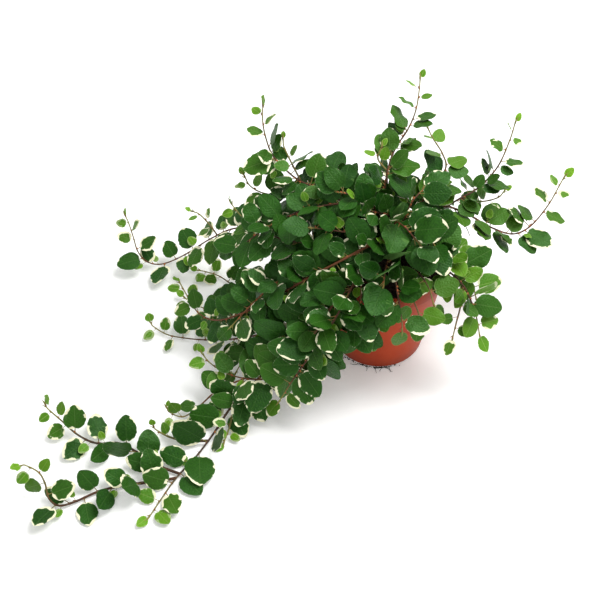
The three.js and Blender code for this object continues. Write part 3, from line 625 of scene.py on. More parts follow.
def blade_faces():
    """The faces of one leaf, and its margin's points in order: its top is a grid with a fan at either end, and its
    underside runs from the same margin to the midrib, which has points of its own there."""
    columns = len(SIDE_STATIONS)
    grid = ROW_COUNT * columns
    foot, tip = grid, grid + 1
    rib = grid + 2 + np.arange(ROW_COUNT)
    column = np.arange(columns - 1)
    last = (ROW_COUNT - 1) * columns
    left = np.arange(ROW_COUNT) * columns
    right = left + columns - 1
    top = grid_faces(ROW_COUNT, columns)[:, [0, 3, 2, 1]]
    under = np.vstack([
        np.stack([left[:-1], rib[:-1], rib[1:], left[1:]], -1),
        np.stack([rib[:-1], right[:-1], right[1:], rib[1:]], -1),
    ])
    top_fans = np.vstack([
        np.stack([np.full_like(column, foot), column, column + 1], -1),
        np.stack([np.full_like(column, tip), last + column + 1, last + column], -1),
    ])
    under_fans = np.array([(foot, rib[0], left[0]), (foot, right[0], rib[0]),
                           (tip, left[-1], rib[-1]), (tip, rib[-1], right[-1])])
    border = np.concatenate([[foot], left, [tip], right[::-1]])
    return [top, top_fans, under, under_fans], border


def edge_distance(x, y, border):
    """How far points on leaves lie in from the leaves' margin: the least distance to its straight stretches."""
    flat = np.stack([x, y], -1)
    start = flat[:, border]
    step = np.roll(start, -1, axis=1) - start
    offset = flat[:, :, None] - start[:, None]
    share = np.clip((offset * step[:, None]).sum(-1) / np.maximum((step * step).sum(-1), 1e-9)[:, None], 0, 1)
    return np.linalg.norm(offset - share[..., None] * step[:, None], axis=-1).min(-1)


def of_each(leaves, *keys):
    """Some of the leaves' properties, each as an array."""
    return [np.array([getattr(leaf, key) for leaf in leaves]) for key in keys]


def blades(leaves, rng):
    """The blades of some leaves at once. On a grid of the share along a leaf and the share across it, a point lies
    at the outline's half width times the share across, widened by teeth, the absolute sine of the share along, and
    by dents, which are slower sines. Its height over the leaf's plane is the bend that the solids have, less a
    crease along the midrib, plus a ripple that grows with the square of the share across. Beside the foot the
    blade reaches back, so that its base is heart-shaped. Top and underside meet in the margin."""
    count = len(leaves)
    length, width, droop, cup = (v[:, None, None] for v in of_each(leaves, "length", "width", "droop", "cup"))
    share = ((1 - np.cos(np.linspace(0, math.pi, ROW_COUNT + 2)[1:-1])) / 2)[None, :, None]
    across = SIDE_STATIONS[None, None]
    side = np.sign(across)
    draws = rng.uniform(-1, 1, (count, 9))[:, :, None, None]
    tooth_phase = math.pi * (draws[:, 0] + TOOTH_SHIFT * side)
    depth = TOOTH_DEPTH * (0.6 + 0.4 * draws[:, 8])
    teeth = depth * (np.abs(np.sin(math.pi * TOOTH_COUNT * share + tooth_phase)) - 0.6)
    dents = DENT_DEPTH * np.sin(math.pi * (DENT_WAVES[0] * share + draws[:, 1] * 2 + 0.6 * side))
    dents = dents * (0.5 + draws[:, 2] / 2)
    dents = dents + DENT_DEPTH * draws[:, 3] * np.sin(math.pi * (DENT_WAVES[1] * share * side + draws[:, 4]))
    half = outline(share) * width / 2
    y = half * (across + side * (teeth + dents) * np.abs(across) ** 3)
    x = share * length - NOTCH * length * np.abs(across) ** 1.5 * (1 - share) ** 5
    z = (-droop * x * x - cup * y * y) / length - CREASE * length * (1 - np.abs(across)) ** 2.5
    wave = np.sin(math.pi * ((RIPPLE_WAVES + draws[:, 5]) * share + draws[:, 6] + 0.7 * side))
    ripple = RIPPLE * length * np.abs(across) ** 2 * wave
    z = z + ripple * (0.3 + (0.5 + 0.5 * draws[:, 7]) ** 2) * np.sin(math.pi * share) ** 0.5
    zero = np.zeros((count, 1))
    tip = length[:, 0]
    middle = len(SIDE_STATIONS) // 2

    def whole(grid, foot, end, rib):
        return np.concatenate([grid.reshape(count, -1), foot, end, rib], axis=1)

    x_all = whole(x, zero, tip, x[:, :, middle])
    y_all = whole(y, zero, zero, y[:, :, middle])
    rib = z[:, :, middle] - BLADE_THICKNESS - RIB * (1 - share[..., 0])
    z_all = whole(z, zero, -droop[:, 0] * tip - CREASE * 0.3 * tip, rib)
    base, d, w, n = (v[:, None] for v in of_each(leaves, "base", "d", "w", "n"))
    points = base + x_all[..., None] * d + y_all[..., None] * w + z_all[..., None] * n
    parts, border = blade_faces()
    place = np.stack([x_all, y_all, edge_distance(x_all, y_all, border)], -1)
    size = points.shape[1]
    kind = np.stack(of_each(leaves, "fresh", "cream", "draw"), -1)
    below = np.concatenate([np.full(count * len(part), float(i > 1)) for i, part in enumerate(parts)])
    faces = copies(parts, count, size)
    return points.reshape(-1, 3), faces, place.reshape(-1, 3), np.repeat(kind, size, axis=0), below


def stalks(leaves):
    """The stalks of some leaves: each is a curve of squares of the share along it, which leaves its stem along it
    and comes to the blade's foot from behind and below, and ends just under the blade."""
    root, base, d, n, direction = (v[:, None] for v in of_each(leaves, "root", "base", "d", "n", "along"))
    length, youth, draws = of_each(leaves, "length", "youth", "draw")
    reach = np.linalg.norm(base - root, axis=-1, keepdims=True)
    share = shares(STALK_RINGS)
    middle = (root + base) / 2 - STALK_BOW * reach * unit(d - STALK_LEAN * direction) - STALK_SAG * reach * n
    centres = root * (1 - share) ** 2 + 2 * middle * share * (1 - share) + (base - 0.15 * n) * share**2
    radii = STALK_THICK * (1 - 0.25 * share[..., 0]) * (1 - 0.35 * youth[:, None])
    radii = radii * np.clip(length[:, None] / LEAF_LENGTH, 0.6, 1.1)
    kinds = np.stack([STALK_GREEN[0] + STALK_GREEN[1] * youth, draws, 0 * draws], -1)
    return tubes(centres, radii, STALK_SIDES, kinds)


def cones(roots, directions, lengths, thick, bow, kinds):
    """Small pointed shapes that stand on a stem, such as buds: each follows a line that bows by the square of the
    share along it, and its radius is its thickness times BUD_PROFILE, fullest in its lower half."""
    share = shares(len(BUD_PROFILE))
    reach = lengths[:, None, None]
    centres = roots[:, None] + directions[:, None] * reach * share + bow[:, None] * reach * share**2
    return tubes(centres, thick[:, None] * BUD_PROFILE, BUD_SIDES, kinds)


def bark(fine, thick, leaves, draw, young_from):
    """A stem's tube along its route, thinner towards the tip and swollen at each leaf by a bell curve."""
    reach = fine.reach
    nodes = of_each(leaves, "distance")[0]
    swell = np.exp(-(((reach[:, None] - nodes) / NODE_WIDTH) ** 2)).sum(1)
    radii = mix(thick, TIP_THICK, (reach / fine.length) ** TAPER_POWER) * (1 + NODE_SWELL * np.minimum(swell, 1))
    green = np.clip((reach - fine.length + young_from) / young_from, 0, 1) ** 1.5
    kinds = np.stack([green, np.full_like(green, draw), 0 * green], -1)
    return tubes(fine.line[None], radii[None], TUBE_SIDES, kinds)


def square_to(directions, draws):
    """Unit vectors square to some directions, turned about them by a draw."""
    side = unit(np.cross(directions, np.array([0.31, 0.17, 0.93])))
    other = np.cross(directions, side)
    angle = FULL_TURN * draws[:, None]
    return side * np.cos(angle) + other * np.sin(angle)


def rootlets(leaves, rng):
    """Short aerial roots under some of a stem's nodes: thin tapered tubes that bend by the square of the share."""
    chosen = [leaf for leaf in leaves if rng.random() < ROOTLET_SHARE and leaf.youth < ROOTLET_YOUTH]
    if not chosen:
        return []
    count = len(chosen)
    root, direction = of_each(chosen, "root", "along")
    away = unit(square_to(direction, rng.random(count)) - [0, 0, ROOTLET_DROP])
    length = rng.uniform(*ROOTLET_LENGTH, count)[:, None, None]
    share = shares(ROOTLET_RINGS)
    sway = square_to(away, rng.random(count))[:, None]
    centres = root[:, None] + away[:, None] * length * share + sway * length * ROOTLET_BOW * share**2
    centres[..., 2] = np.maximum(centres[..., 2], ROOTLET_THICK)
    radii = ROOTLET_THICK * (1 - 0.6 * share[..., 0]) * np.ones((count, 1))
    kinds = np.stack([np.full(count, ROOTLET_GREEN), rng.random(count), np.ones(count)], -1)
    return [tubes(centres, radii, ROOTLET_SIDES, kinds)]


def operator(operation, swapped=False):
    """A method that adds one Math node on a value and, where it has one, the other; swapped puts the other first."""
    return lambda self, *other: self.math(operation, *((*other, self) if swapped else (self, *other)))


class Value:
    """A number that changes over a surface. Arithmetic on it adds Math nodes."""

    def __init__(self, finish, socket):
        self.finish = finish
        self.socket = socket

    def math(self, operation, *values, clamped=False):
        settings = {"operation": operation, "use_clamp": clamped}
        return self.finish.node("ShaderNodeMath", settings, dict(enumerate(values)))

    __add__ = __radd__ = operator("ADD")
    __sub__ = operator("SUBTRACT")
    __rsub__ = operator("SUBTRACT", swapped=True)
    __mul__ = __rmul__ = operator("MULTIPLY")
    __truediv__ = operator("DIVIDE")
    __pow__ = operator("POWER")
    __abs__ = operator("ABSOLUTE")

    def clamped(self):
        return self.math("ADD", self, 0, clamped=True)

    def wave(self, width=0.5):
        """Up and down between 0 and a width."""
        return self.math("PINGPONG", self, width)

    def rise(self, low, high):
        """0 below low, 1 above high and smooth between them; falls where low is above high."""
        settings = {"interpolation_type": "SMOOTHSTEP"}
        return self.finish.node("ShaderNodeMapRange", settings, {0: self, 1: low, 2: high})


class Finish:
    """A material with one Principled shader, and the nodes that its maker adds."""

    def __init__(self, name, **constants):
        self.material = bpy.data.materials.new(name)
        self.material.use_nodes = True
        self.tree = self.material.node_tree
        self.shader = self.tree.nodes["Principled BSDF"]
        for key, value in constants.items():
            self.shader.inputs[key.replace("_", " ").title().replace("Ior", "IOR")].default_value = value

    def node(self, kind, settings, inputs, output=0):
        node = self.tree.nodes.new(kind)
        for key, value in settings.items():
            setattr(node, key, value)
        for key, value in inputs.items():
            if isinstance(value, Value):
                self.tree.links.new(value.socket, node.inputs[key])
            else:
                node.inputs[key].default_value = value
        return Value(self, node.outputs[output])

    def set(self, name, value):
        self.tree.links.new(value.socket, self.shader.inputs[name])

    def parts(self, vector):
        return [self.node("ShaderNodeSeparateXYZ", {}, {0: vector}, i) for i in range(3)]

    def together(self, x, y, z):
        return self.node("ShaderNodeCombineXYZ", {}, {0: x, 1: y, 2: z})

    def attribute(self, name, output="Vector"):
        return self.node("ShaderNodeAttribute", {"attribute_name": name}, {}, output)

    def place(self):
        """Where a point is on the object, in metres."""
        return self.node("ShaderNodeTexCoord", {}, {}, "Object")

    def noise(self, vector, scale, detail, roughness=0.5):
        inputs = {"Vector": vector, "Scale": scale, "Detail": detail, "Roughness": roughness}
        return self.node("ShaderNodeTexNoise", {}, inputs)

    def cells(self, vector, scale):
        return self.node("ShaderNodeTexVoronoi", {}, {"Vector": vector, "Scale": scale}, "Distance")

    def colour(self, factor, first, second):
        """One colour going over into another: 0 gives the first and 1 the second."""
        settings = {"data_type": "RGBA", "blend_type": "MIX"}
        ends = [value if isinstance(value, Value) else (*value, 1) for value in (first, second)]
        return self.node("ShaderNodeMix", settings, {0: factor, 6: ends[0], 7: ends[1]}, 2)

    def show(self, colour, roughness, height, distance, strength=1.0):
        """The material with its colour, its roughness and its bumps, whose full height is a distance in metres."""
        normal = self.node("ShaderNodeBump", {}, {"Height": height, "Distance": distance, "Strength": strength})
        for name, value in (("Base Color", colour), ("Roughness", roughness), ("Normal", normal)):
            self.set(name, value)
        return self.material


# Colours, as linear red, green and blue
DARK_GREEN = (0.007, 0.041, 0.004)
MID_GREEN = (0.016, 0.076, 0.005)
PALE_GREEN = (0.075, 0.170, 0.035)
GREY_GREEN = (0.055, 0.120, 0.040)
UNDER_GREEN = (0.065, 0.150, 0.030)
YOUNG_GREEN = (0.150, 0.330, 0.012)
FRESH_GREEN = (0.085, 0.240, 0.010)
YOUNG_EDGE = (0.420, 0.560, 0.150)
CREAM = (0.860, 0.830, 0.580)
BARK_BROWN = (0.038, 0.018, 0.008)
BARK_RED = (0.180, 0.060, 0.020)
TIP_GREEN = (0.200, 0.260, 0.050)
TIP_BROWN = (0.240, 0.150, 0.045)
NUB_ORANGE = (0.420, 0.105, 0.030)
FLECK_BROWN = (0.30, 0.19, 0.11)
ROOTLET_BROWN = (0.16, 0.075, 0.035)
POT_DEEP = (0.310, 0.031, 0.007)
POT_LIGHT = (0.380, 0.042, 0.010)
POT_DARK_BROWN = (0.120, 0.050, 0.030)
PEAT = (0.010, 0.007, 0.005)
PEAT_FIBRE = (0.045, 0.026, 0.015)
FLOOR_GREY = (0.91, 0.91, 0.90)
FLOOR_WHITE = (0.94, 0.94, 0.93)

# The noises of each finish, from broad to fine: how many to a millimetre on leaves and to a metre elsewhere, and
# how rich they are. Veins and cream are in millimetres.
LEAF_NOISES = ((0.11, 1.0), (0.6, 2.0), (2.2, 3.0))
BARK_NOISES = ((160, 3.0), (900, 2.0))
POT_NOISES = ((28, 3.0), (420, 2.0))
FLOOR_NOISE = (3, 2.0)
PEAT_CRUMBS = 260
PEAT_FIBRES = (700, 4.0, 0.7)
LEAF_APART = 400
VEIN_PITCH = 2.9
VEIN_SLANT = 0.85
CREAM_WIDTH = 2.2


def leaf_finish():
    """Green with pinnate veins and cream patches along the margin, paler below, and yellow-green when young."""
    finish = Finish("cream_edged_leaf", specular_ior_level=0.35, specular_tint=(0.55, 1.0, 0.45, 1))
    x, y, edge = finish.parts(finish.attribute("leaf_place"))
    youth, cream, draw = finish.parts(finish.attribute("leaf_kind"))
    below = finish.attribute("leaf_below", "Fac")
    spot = finish.together(x, y, draw * LEAF_APART)
    broad, fine, grain = (finish.noise(spot, *noise) for noise in LEAF_NOISES)
    ragged = edge + fine * 1.5 - 0.6

    sideways = abs(y)
    branch = ((x - sideways * VEIN_SLANT) / VEIN_PITCH).wave()
    vein = branch.rise(0.075, 0.02) * edge.rise(0.6, 3.5) * sideways.rise(0.2, 0.6)
    midrib = sideways.rise(0.42, 0.16)
    lines = (vein * (draw * 0.55 - 0.08).clamped() + midrib * (0.4 + draw * 0.4)).clamped()

    marked = cream.rise(0.02, 0.1) * youth.rise(0.95, 0.5)
    width = (broad * 7.5 + fine * 0.6 - 5.1 + cream * 1.75).clamped() * CREAM_WIDTH
    patch = (width - ragged).rise(-0.12, 0.12) * marked
    shadow = (width + 1.3 * grain + 0.2 - ragged).rise(-0.1, 0.2) * marked

    green = finish.colour((fine * 2.2 + draw * 0.8 - 0.95).clamped(), DARK_GREEN, MID_GREEN)
    green = finish.colour(lines * 0.55, green, PALE_GREEN)
    green = finish.colour(shadow * 0.55, green, GREY_GREEN)
    young = finish.colour((fine + draw * 0.9 - 0.5).clamped(), YOUNG_GREEN, FRESH_GREEN)
    young = finish.colour((lines * 0.5 + edge.rise(1.0, 0.1) * 0.45).clamped(), young, YOUNG_EDGE)
    skin = finish.colour((youth ** 1.4).clamped(), green, young)
    skin = finish.colour(below * 0.75, skin, UNDER_GREEN)
    skin = finish.colour(patch, skin, CREAM)
    quilt = branch.rise(0.0, 0.5) * edge.rise(0.3, 3.0)
    height = quilt * 0.2 + midrib * -0.5 + fine * 1.8 + grain * 0.15
    return finish.show(skin, 0.36 + 0.16 * grain + 0.16 * below + 0.08 * patch, height, 0.4 * MM, 0.8)


def bark_finish():
    """Dark brown on old stems, red-brown on some and green towards the tips, with pale flecks, orange nubs at the
    nodes and dry brown rootlets."""
    finish = Finish("fig_bark", specular_ior_level=0.35)
    green, draw, dry = finish.parts(finish.attribute("bark_kind"))
    place = finish.place()
    blotch, fleck = (finish.noise(place, *noise) for noise in BARK_NOISES)
    brown = finish.colour((draw * 1.1 + blotch * 0.7 - 0.3).clamped(), BARK_BROWN, BARK_RED)
    tip = finish.colour(blotch, TIP_GREEN, TIP_BROWN)
    skin = finish.colour((green * 1.15 + blotch * 0.5 - 0.3).clamped(), brown, tip)
    skin = finish.colour((green * -1.1).clamped(), skin, NUB_ORANGE)
    skin = finish.colour(fleck.rise(0.62, 0.72) * 0.35, skin, FLECK_BROWN)
    skin = finish.colour(dry * 0.6, skin, ROOTLET_BROWN)
    return finish.show(skin, 0.5 + 0.3 * fleck, blotch * 0.6 + fleck * 0.4, 0.25 * MM, 0.8)


def pot_finish():
    """Terracotta-coloured moulded plastic, slightly mottled, with fine brown specks, and darker towards its foot."""
    finish = Finish("terracotta_plastic", specular_ior_level=0.22, specular_tint=(1.0, 0.35, 0.2, 1))
    place = finish.place()
    z = finish.parts(place)[2]
    cloud, speck = (finish.noise(place, *noise) for noise in POT_NOISES)
    skin = finish.colour(cloud.rise(0.35, 0.65), POT_DEEP, POT_LIGHT)
    # Darker over the lowest 20 mm towards the foot, plus fine specks; both mix towards a dark brown.
    darker_foot_and_specks = (z.rise(0.02, 0.0) * 0.5 + speck.rise(0.66, 0.76) * 0.35) * cloud
    skin = finish.colour(darker_foot_and_specks.clamped(), skin, POT_DARK_BROWN)
    return finish.show(skin, 0.38 + 0.14 * cloud + 0.1 * speck, speck * 0.3 + cloud * 0.2, 0.15 * MM, 0.6)


def soil_finish():
    """Nearly black peat with brown fibres."""
    finish = Finish("peat_soil", specular_ior_level=0.2)
    place = finish.place()
    crumb = finish.cells(place, PEAT_CRUMBS)
    fibre = finish.noise(place, *PEAT_FIBRES)
    skin = finish.colour(fibre.rise(0.4, 0.7), PEAT, PEAT_FIBRE)
    return finish.show(skin, 0.8 + 0.2 * fibre, crumb * 0.7 + fibre * 0.5, 1.2 * MM)


def floor_finish():
    """The pale surface below, with faint clouds and a slight glow of its own."""
    finish = Finish("white_floor", roughness=0.7, specular_ior_level=0.15, emission_color=(1, 1, 1, 1),
                    emission_strength=0.14)
    cloud = finish.noise(finish.place(), *FLOOR_NOISE)
    finish.set("Base Color", finish.colour(cloud, FLOOR_GREY, FLOOR_WHITE))
    return finish.material


def arc(centre, radius, start, end, count=6):
    """Points on a round edge, as radius and height, between two angles in degrees."""
    angle = np.radians(np.linspace(start, end, count))
    return [(centre[0] + radius * math.cos(a), centre[1] + radius * math.sin(a)) for a in angle]


POT_SIDES = 144
POT_SHARP = 40
LIP_ROUND = 0.9
FOOT_ROUND = 2.2
DRILL_SIDES = 24


def lathe(profile, sides):
    """A closed solid of revolution from a profile of radius and height that starts and ends on the axis: its inner
    points go round in rings and its two ends are single points."""
    inner = np.array(profile[1:-1], float)
    angle = np.linspace(0, FULL_TURN, sides, endpoint=False)
    radius, height = inner[:, 0, None], inner[:, 1, None] + 0 * angle
    rings = np.stack([radius * np.cos(angle), radius * np.sin(angle), height], -1).reshape(-1, 3)
    points = np.vstack([rings, [[0, 0, profile[0][1]], [0, 0, profile[-1][1]]]])
    quads = grid_faces(len(inner), sides, wrap=True).tolist()
    first = np.arange(sides)
    after = np.roll(first, -1)
    last = (len(inner) - 1) * sides
    low = np.stack([np.full(sides, len(rings)), after, first], -1).tolist()
    high = np.stack([np.full(sides, len(rings) + 1), first + last, after + last], -1).tolist()
    return points, quads + low + high


def build_pot(finish):
    """The pot's own profile, from the middle of its underside out, up, over the rounded lip and down inside."""
    inside = RIM_RADIUS - WALL
    inner_round = LIP_ROUND * 0.8
    profile = [(0, 0), (DRAIN_RING + 2 * DRAIN_RADIUS, 0)]
    profile += arc((FOOT_RADIUS - FOOT_ROUND, FOOT_ROUND), FOOT_ROUND, -90, 0)
    profile += [(mix(FOOT_RADIUS, NECK_RADIUS, s), LIP_FOOT * s) for s in np.linspace(0.1, 0.96, 9)]
    profile += arc((NECK_RADIUS + LIP_ROUND, LIP_FOOT - LIP_ROUND), LIP_ROUND, 180, 90, 4)
    profile += arc((RIM_RADIUS - LIP_ROUND, LIP_FOOT + LIP_ROUND), LIP_ROUND, -90, 0, 4)
    profile += arc((RIM_RADIUS - LIP_ROUND, POT_HEIGHT - LIP_ROUND), LIP_ROUND, 0, 90)
    profile += arc((inside + inner_round, POT_HEIGHT - inner_round), inner_round, 90, 180)
    profile += [(inside, LIP_FOOT + WALL), (NECK_RADIUS - WALL, LIP_FOOT - WALL)]
    profile += [(FOOT_RADIUS - WALL, FLOOR + 1), (FOOT_RADIUS - WALL - 1, FLOOR), (0, FLOOR)]
    points, faces = lathe(profile, POT_SIDES)
    pot = put_mesh("moulded_pot", points, faces, finish)
    low, high = -FLOOR, 2 * FLOOR
    points, faces = lathe([(0, low), (DRAIN_RADIUS, low), (DRAIN_RADIUS, high), (0, high)], DRILL_SIDES)
    for i in range(DRAIN_HOLES):
        angle = FULL_TURN * i / DRAIN_HOLES
        centre = [DRAIN_RING * math.cos(angle), DRAIN_RING * math.sin(angle), 0]
        drill = put_mesh("drill", points + centre, faces, finish)
        cut = pot.modifiers.new("drain", "BOOLEAN")
        cut.object, cut.operation, cut.solver = drill, "DIFFERENCE", "EXACT"
        with bpy.context.temp_override(object=pot, active_object=pot):
            bpy.ops.object.modifier_apply(modifier=cut.name)
        bpy.data.objects.remove(drill)
    pot.data.set_sharp_from_angle(angle=math.radians(POT_SHARP))
    return pot


SOIL_RINGS = 26
SOIL_SIDES = 96
SOIL_BUMP = 1.6
SOIL_EDGE = 3
HILL_WAVES = 24
HILL_SIZES = (5, 25)
CRUMB_COUNT = 420
CRUMB_REACH = 56
CRUMB_LIFT = 0.6
CRUMB_SIZES = (0.5, 2.2)
CRUMB_DENTS = (0.7, 1.25)
CRUMB_SQUASH = (0.6, 1.2)


def hills(x, y, rng):
    """Uneven ground: a sum of sines of random directions, lengths and phases."""
    angle = rng.uniform(0, FULL_TURN, HILL_WAVES)
    pitch = FULL_TURN / rng.uniform(*HILL_SIZES, HILL_WAVES)
    phase = rng.uniform(0, FULL_TURN, HILL_WAVES)
    slope = x[..., None] * np.cos(angle) * pitch + y[..., None] * np.sin(angle) * pitch + phase
    return np.sin(slope).sum(-1) / math.sqrt(HILL_WAVES)


def crumbs(places, sizes, rng):
    """Irregular crumbs: the corners of an icosahedron, each moved in or out by a draw and squashed a little."""
    golden = (1 + math.sqrt(5)) / 2
    signs = [(a, b) for a in (-1, 1) for b in (-1, 1)]
    corners = [(a, b * golden, 0) for a, b in signs] + [(0, a, b * golden) for a, b in signs]
    corners = unit(np.array(corners + [(a * golden, 0, b) for a, b in signs], float))
    apart = np.linalg.norm(corners[:, None] - corners[None], axis=-1)
    near = (apart > 0.1) & (apart < 1.1)
    faces = [f for f in combinations(range(len(corners)), 3) if all(near[a, b] for a, b in combinations(f, 2))]
    faces = np.array([f if np.linalg.det(corners[list(f)]) > 0 else f[::-1] for f in faces])
    count, size = len(places), len(corners)
    shape = corners[None] * rng.uniform(*CRUMB_DENTS, (count, size, 1)) * rng.uniform(*CRUMB_SQUASH, (count, 1, 3))
    points = places[:, None] + shape * sizes[:, None, None]
    return points.reshape(-1, 3), copies([faces], count, size)


def build_soil(finish):
    """The filling: it fits the pot's inside, and its top is level but for uneven ground and crumbs."""
    rng = np.random.default_rng(LOOK_SEED)
    wall = WALL + SOIL_GAP
    rings = [(RIM_RADIUS - wall) * s for s in np.linspace(0, 1, SOIL_RINGS)][::-1]
    profile = [(0, FLOOR), (FOOT_RADIUS - wall, FLOOR), (NECK_RADIUS - wall, LIP_FOOT - WALL)]
    profile += [(RIM_RADIUS - wall, LIP_FOOT + WALL + SOIL_GAP)]
    profile += [(r, SOIL_TOP + SOIL_HEAP * (1 - r / RIM_RADIUS)) for r in rings]
    points, faces = lathe(profile, SOIL_SIDES)
    top = points[:, 2] > SOIL_TOP - 0.01
    inward = np.clip((RIM_RADIUS - wall - np.hypot(points[:, 0], points[:, 1])) / SOIL_EDGE, 0, 1)
    lumps = hills(points[:, 0], points[:, 1], rng) * SOIL_BUMP
    points[:, 2] += np.where(top, lumps * inward, 0)
    angle, reach = rng.uniform(0, FULL_TURN, CRUMB_COUNT), CRUMB_REACH * np.sqrt(rng.random(CRUMB_COUNT))
    height = SOIL_TOP + SOIL_HEAP * (1 - reach / RIM_RADIUS) + CRUMB_LIFT
    places = np.stack([reach * np.cos(angle), reach * np.sin(angle), height], -1)
    points, faces = join((points, faces), crumbs(places, rng.uniform(*CRUMB_SIZES, CRUMB_COUNT), rng))
    return put_mesh("potting_soil", points, faces, finish, smooth=False)


# The crumbs under the pot's front: on which sides of the pot their heaps are, in degrees, and each heap's share
SPILL_COUNT = 110
SPILL_SIZES = (0.25, 0.8)
HEAP_SIDES = (-132, -108, -93, -80)
HEAP_SHARES = (0.2, 0.3, 0.35, 0.15)
HEAP_SPREAD = 7
HEAP_DEPTH = 0.8

# Root threads on the surface: where each begins, which way it goes in degrees, and its length
ROOT_THREADS = [
    (-36, -27, 200, 7), (-33, -31, 235, 9), (-12, -43, 262, 6), (-6, -44, 300, 8), (2, -44.5, 250, 5),
    (5, -44.5, 330, 9), (9, -44, 280, 6), (-58, -46, 285, 15), (-20, -40, 190, 8),
]
THREAD_HEIGHT = 0.35
THREAD_THICK = 0.32
THREAD_SWAY = 0.16
THREAD_RINGS = 9
THREAD_SIDES = 5


def build_spill(finish):
    """Soil crumbs in a few heaps under the front of the pot, and root threads, each of which runs straight but for
    a sideways sine and lies on the surface."""
    rng = np.random.default_rng(LOOK_SEED + 1)
    heap = rng.choice(HEAP_SIDES, SPILL_COUNT, p=HEAP_SHARES)
    angle = np.radians(heap + rng.normal(0, HEAP_SPREAD, SPILL_COUNT))
    reach = FOOT_RADIUS + np.abs(rng.normal(0, HEAP_DEPTH, SPILL_COUNT))
    sizes = rng.uniform(*SPILL_SIZES, SPILL_COUNT)
    heaps = crumbs(np.stack([reach * np.cos(angle), reach * np.sin(angle), sizes * 0.8], -1), sizes, rng)
    x, y, turn, length = np.array(ROOT_THREADS, float).T[:, :, None, None]
    start = np.concatenate([x, y, np.full_like(x, THREAD_HEIGHT)], -1)
    turn = np.radians(turn)
    share = shares(THREAD_RINGS)
    sway = THREAD_SWAY * length * np.sin(FULL_TURN * share * rng.uniform(0.5, 1.1, turn.shape)) * share
    ahead, aside = (np.concatenate([np.cos(a), np.sin(a), 0 * a], -1) for a in (turn, turn + math.pi / 2))
    radii = THREAD_THICK * (1 - 0.5 * share[..., 0]) * np.ones((len(turn), 1))
    points, faces = join(heaps, tubes(start + ahead * length * share + aside * sway, radii, THREAD_SIDES))
    return put_mesh("spilt_soil", points, faces, finish, smooth=False)


# How light and green the leaves of some stems are though full-grown, and how red some stems are
USUAL_FRESHNESS = 0.1
FRESHNESS = {
    "spray_front": 0.55, "spray_front_right": 0.6, "spray_front_low": 0.65, "spray_front_middle": 0.4,
    "spray_right": 0.8, "spray_right_front": 0.85, "spray_right_low": 0.7, "shoot_right": 0.5,
    "shoot_right_back": 0.6, "shoot_tall_back": 0.5, "shoot_tall_left": 0.35, "trail_left_back": 0.3,
    "trail_left_front": 0.3, "trail_left_low": 0.35, "trail_back_left": 0.3,
}
REDNESS = {"trail_left": 0.5, "spray_left": 0.5, "trail_left_front": 0.45, "spray_front": 0.35}
RED_SPREAD = 0.35

# Cream: where it begins to be more and where it is most, out from the pot, to the front, down and to the back
CREAM_FAR = (85, 155)
CREAM_FRONT = (20, -70)
CREAM_LOW = (150, 90)
CREAM_BACK = (10, 50)


def ramp(value, limits):
    """0 at the first limit, 1 at the second, and even between them."""
    return clamp((value - limits[0]) / (limits[1] - limits[0]), 0, 1)


def cream_share(leaf, draw):
    """How much cream a leaf has: more on leaves far out and in front, and none on many leaves of the mound."""
    x, y, z = leaf.middle
    far = ramp(math.hypot(x, y), CREAM_FAR)
    front = ramp(y, CREAM_FRONT) * ramp(z, CREAM_LOW)
    return clamp(draw * 1.2 - 0.55 + 0.42 * far + 0.1 * front + 0.3 * far * ramp(y, CREAM_BACK), 0, 1)


def build_stem(stem, plan, leaf_look, bark_look):
    """One leafy stem: its blades in one piece, and its bark, stalks, buds, nubs and rootlets in another."""
    rng = np.random.default_rng(LOOK_SEED + 10 * (stem + 1))
    leaves = [leaf for part in plan.leaves for leaf in part]
    for leaf in leaves:
        leaf.draw, share, fresh = rng.random(3)
        leaf.cream = cream_share(leaf, share)
        leaf.fresh = max(leaf.youth, FRESHNESS.get(plan.name, USUAL_FRESHNESS) * fresh)
    points, faces, place, kind, below = blades(leaves, rng)
    said = {"leaf_place": place, "leaf_kind": kind, "leaf_below": below}
    foliage = put_mesh(plan.name + "_leaves", points, faces, leaf_look, **said)
    foliage.data.set_sharp_from_angle(angle=math.radians(BLADE_SHARP))

    shapes = [stalks(leaves)]
    for branch, (route, fine, part) in enumerate(zip(plan.routes, plan.fine, plan.leaves)):
        thick = STEM_THICK * plan.girth**GIRTH_POWER * (BRANCH_SHARE if branch else 1)
        red = REDNESS.get(plan.name, 0) + RED_SPREAD * rng.random()
        shapes.append(bark(fine, thick, part, red, GREEN_REACH * (1 - RIPE_LOSS * plan.ripe)))
        ends, directions = (np.array(v) for v in zip(*(along(route, route.length - d) for d in BUD_PLACES)))
        sway = square_to(directions, rng.random(2))
        lean = unit(directions + [[0], [0.5]] * sway)
        lengths, widths = BUD_LENGTH * BUD_SHARES[0], BUD_THICK * BUD_SHARES[1]
        shapes.append(cones(ends, lean, lengths, widths, 0.3 * sway, BUD_KINDS))
    root, d, direction, youth = of_each(leaves, "root", "d", "along", "youth")
    sway = square_to(direction, rng.random(len(leaves)))
    size = rng.uniform(*NUB_SIZES, len(leaves))
    kinds = np.stack([youth - 0.9, rng.uniform(0.4, 1, len(leaves)), 0 * youth], -1)
    lean = unit(d + NUB_LEAN * direction)
    shapes.append(cones(root, lean, NUB_LENGTH * size, NUB_THICK * size, 0.2 * sway, kinds))
    points, faces, kinds = join(*shapes, *rootlets(leaves, rng))
    twig = put_mesh(plan.name + "_twig", points, faces, bark_look, bark_kind=kinds)
    for piece in (foliage, twig):
        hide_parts(plan.name)
        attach(piece, "root")


# The camera: it looks along +Y and down, at a point on the surface a little behind and left of the pot.
CAMERA_DOWN = math.radians(48.5)
CAMERA_AWAY = 1.014
CAMERA_AIM = np.array([-0.076, 0.042, 0.0])
CAMERA_LENS = 60


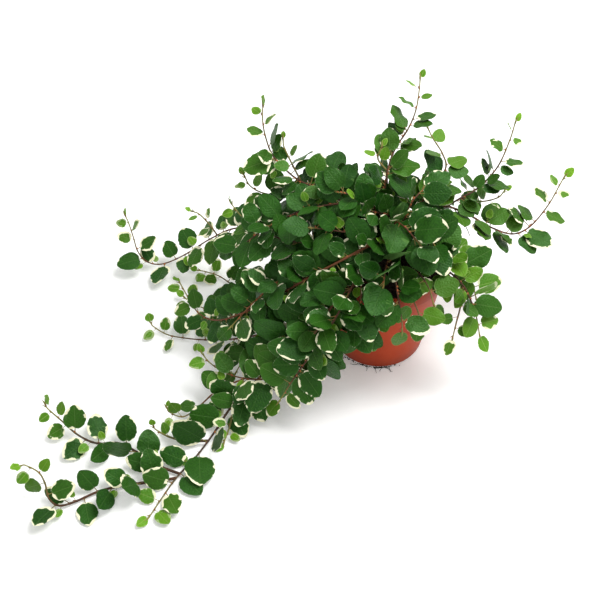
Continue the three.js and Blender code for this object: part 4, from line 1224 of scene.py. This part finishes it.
def build_camera():
    data = bpy.data.cameras.new("camera")
    data.lens = CAMERA_LENS
    camera = bpy.data.objects.new("camera", data)
    camera.location = CAMERA_AIM - CAMERA_AWAY * np.array([0, math.cos(CAMERA_DOWN), -math.sin(CAMERA_DOWN)])
    camera.rotation_euler = (math.pi / 2 - CAMERA_DOWN, 0, 0)
    bpy.context.scene.collection.objects.link(camera)
    bpy.context.scene.camera = camera


FLOOR_HALF = 3000
FLOOR_DEPTH = 0.2
SKY = 0.76
LIGHT_PLACE = np.array([0.55, 0.05, 1.5])
LIGHT_AIM = np.array([-0.05, 0, 0.05])
LIGHT_SIZE = 0.9
LIGHT_POWER = 24


def build_light():
    """One soft round light from the upper right."""
    data = bpy.data.lights.new("soft_light", "AREA")
    data.shape, data.size, data.energy = "DISK", LIGHT_SIZE, LIGHT_POWER
    lamp = bpy.data.objects.new("soft_light", data)
    back = unit(LIGHT_PLACE - LIGHT_AIM)
    side = unit(np.cross([0, 0, 1], back))
    axes = np.stack([side, np.cross(back, side), back, LIGHT_PLACE], 1)
    lamp.matrix_world = Matrix([*axes.tolist(), [0, 0, 0, 1]])
    bpy.context.scene.collection.objects.link(lamp)


def build_stage():
    """A pale floor, an even white sky and the light."""
    corners = [(x * FLOOR_HALF, y * FLOOR_HALF, -FLOOR_DEPTH) for x, y in ((-1, -1), (1, -1), (1, 1), (-1, 1))]
    floor = put_mesh("pale_floor", corners, [[0, 1, 2, 3]], floor_finish(), smooth=False)
    world = bpy.data.worlds.new("studio")
    world.use_nodes = True
    sky = world.node_tree.nodes["Background"]
    sky.inputs[0].default_value = (1, 1, 1, 1)
    sky.inputs[1].default_value = SKY
    bpy.context.scene.world = world
    build_light()
    bpy.context.scene.view_settings.view_transform = "Standard"


def main():
    build_camera()
    leaf_look, bark_look = leaf_finish(), bark_finish()
    pot = build_pot(pot_finish())
    peat = soil_finish()
    soil = build_soil(peat)
    spill = build_spill(peat)
    for piece, slot in ((pot, "pot"), (soil, "soil"), (spill, "soil")):
        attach(piece, "root")
    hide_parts("pot")
    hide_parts("soil")
    for stem, plan in enumerate(grow()):
        build_stem(stem, plan, leaf_look, bark_look)
    build_stage()


main()
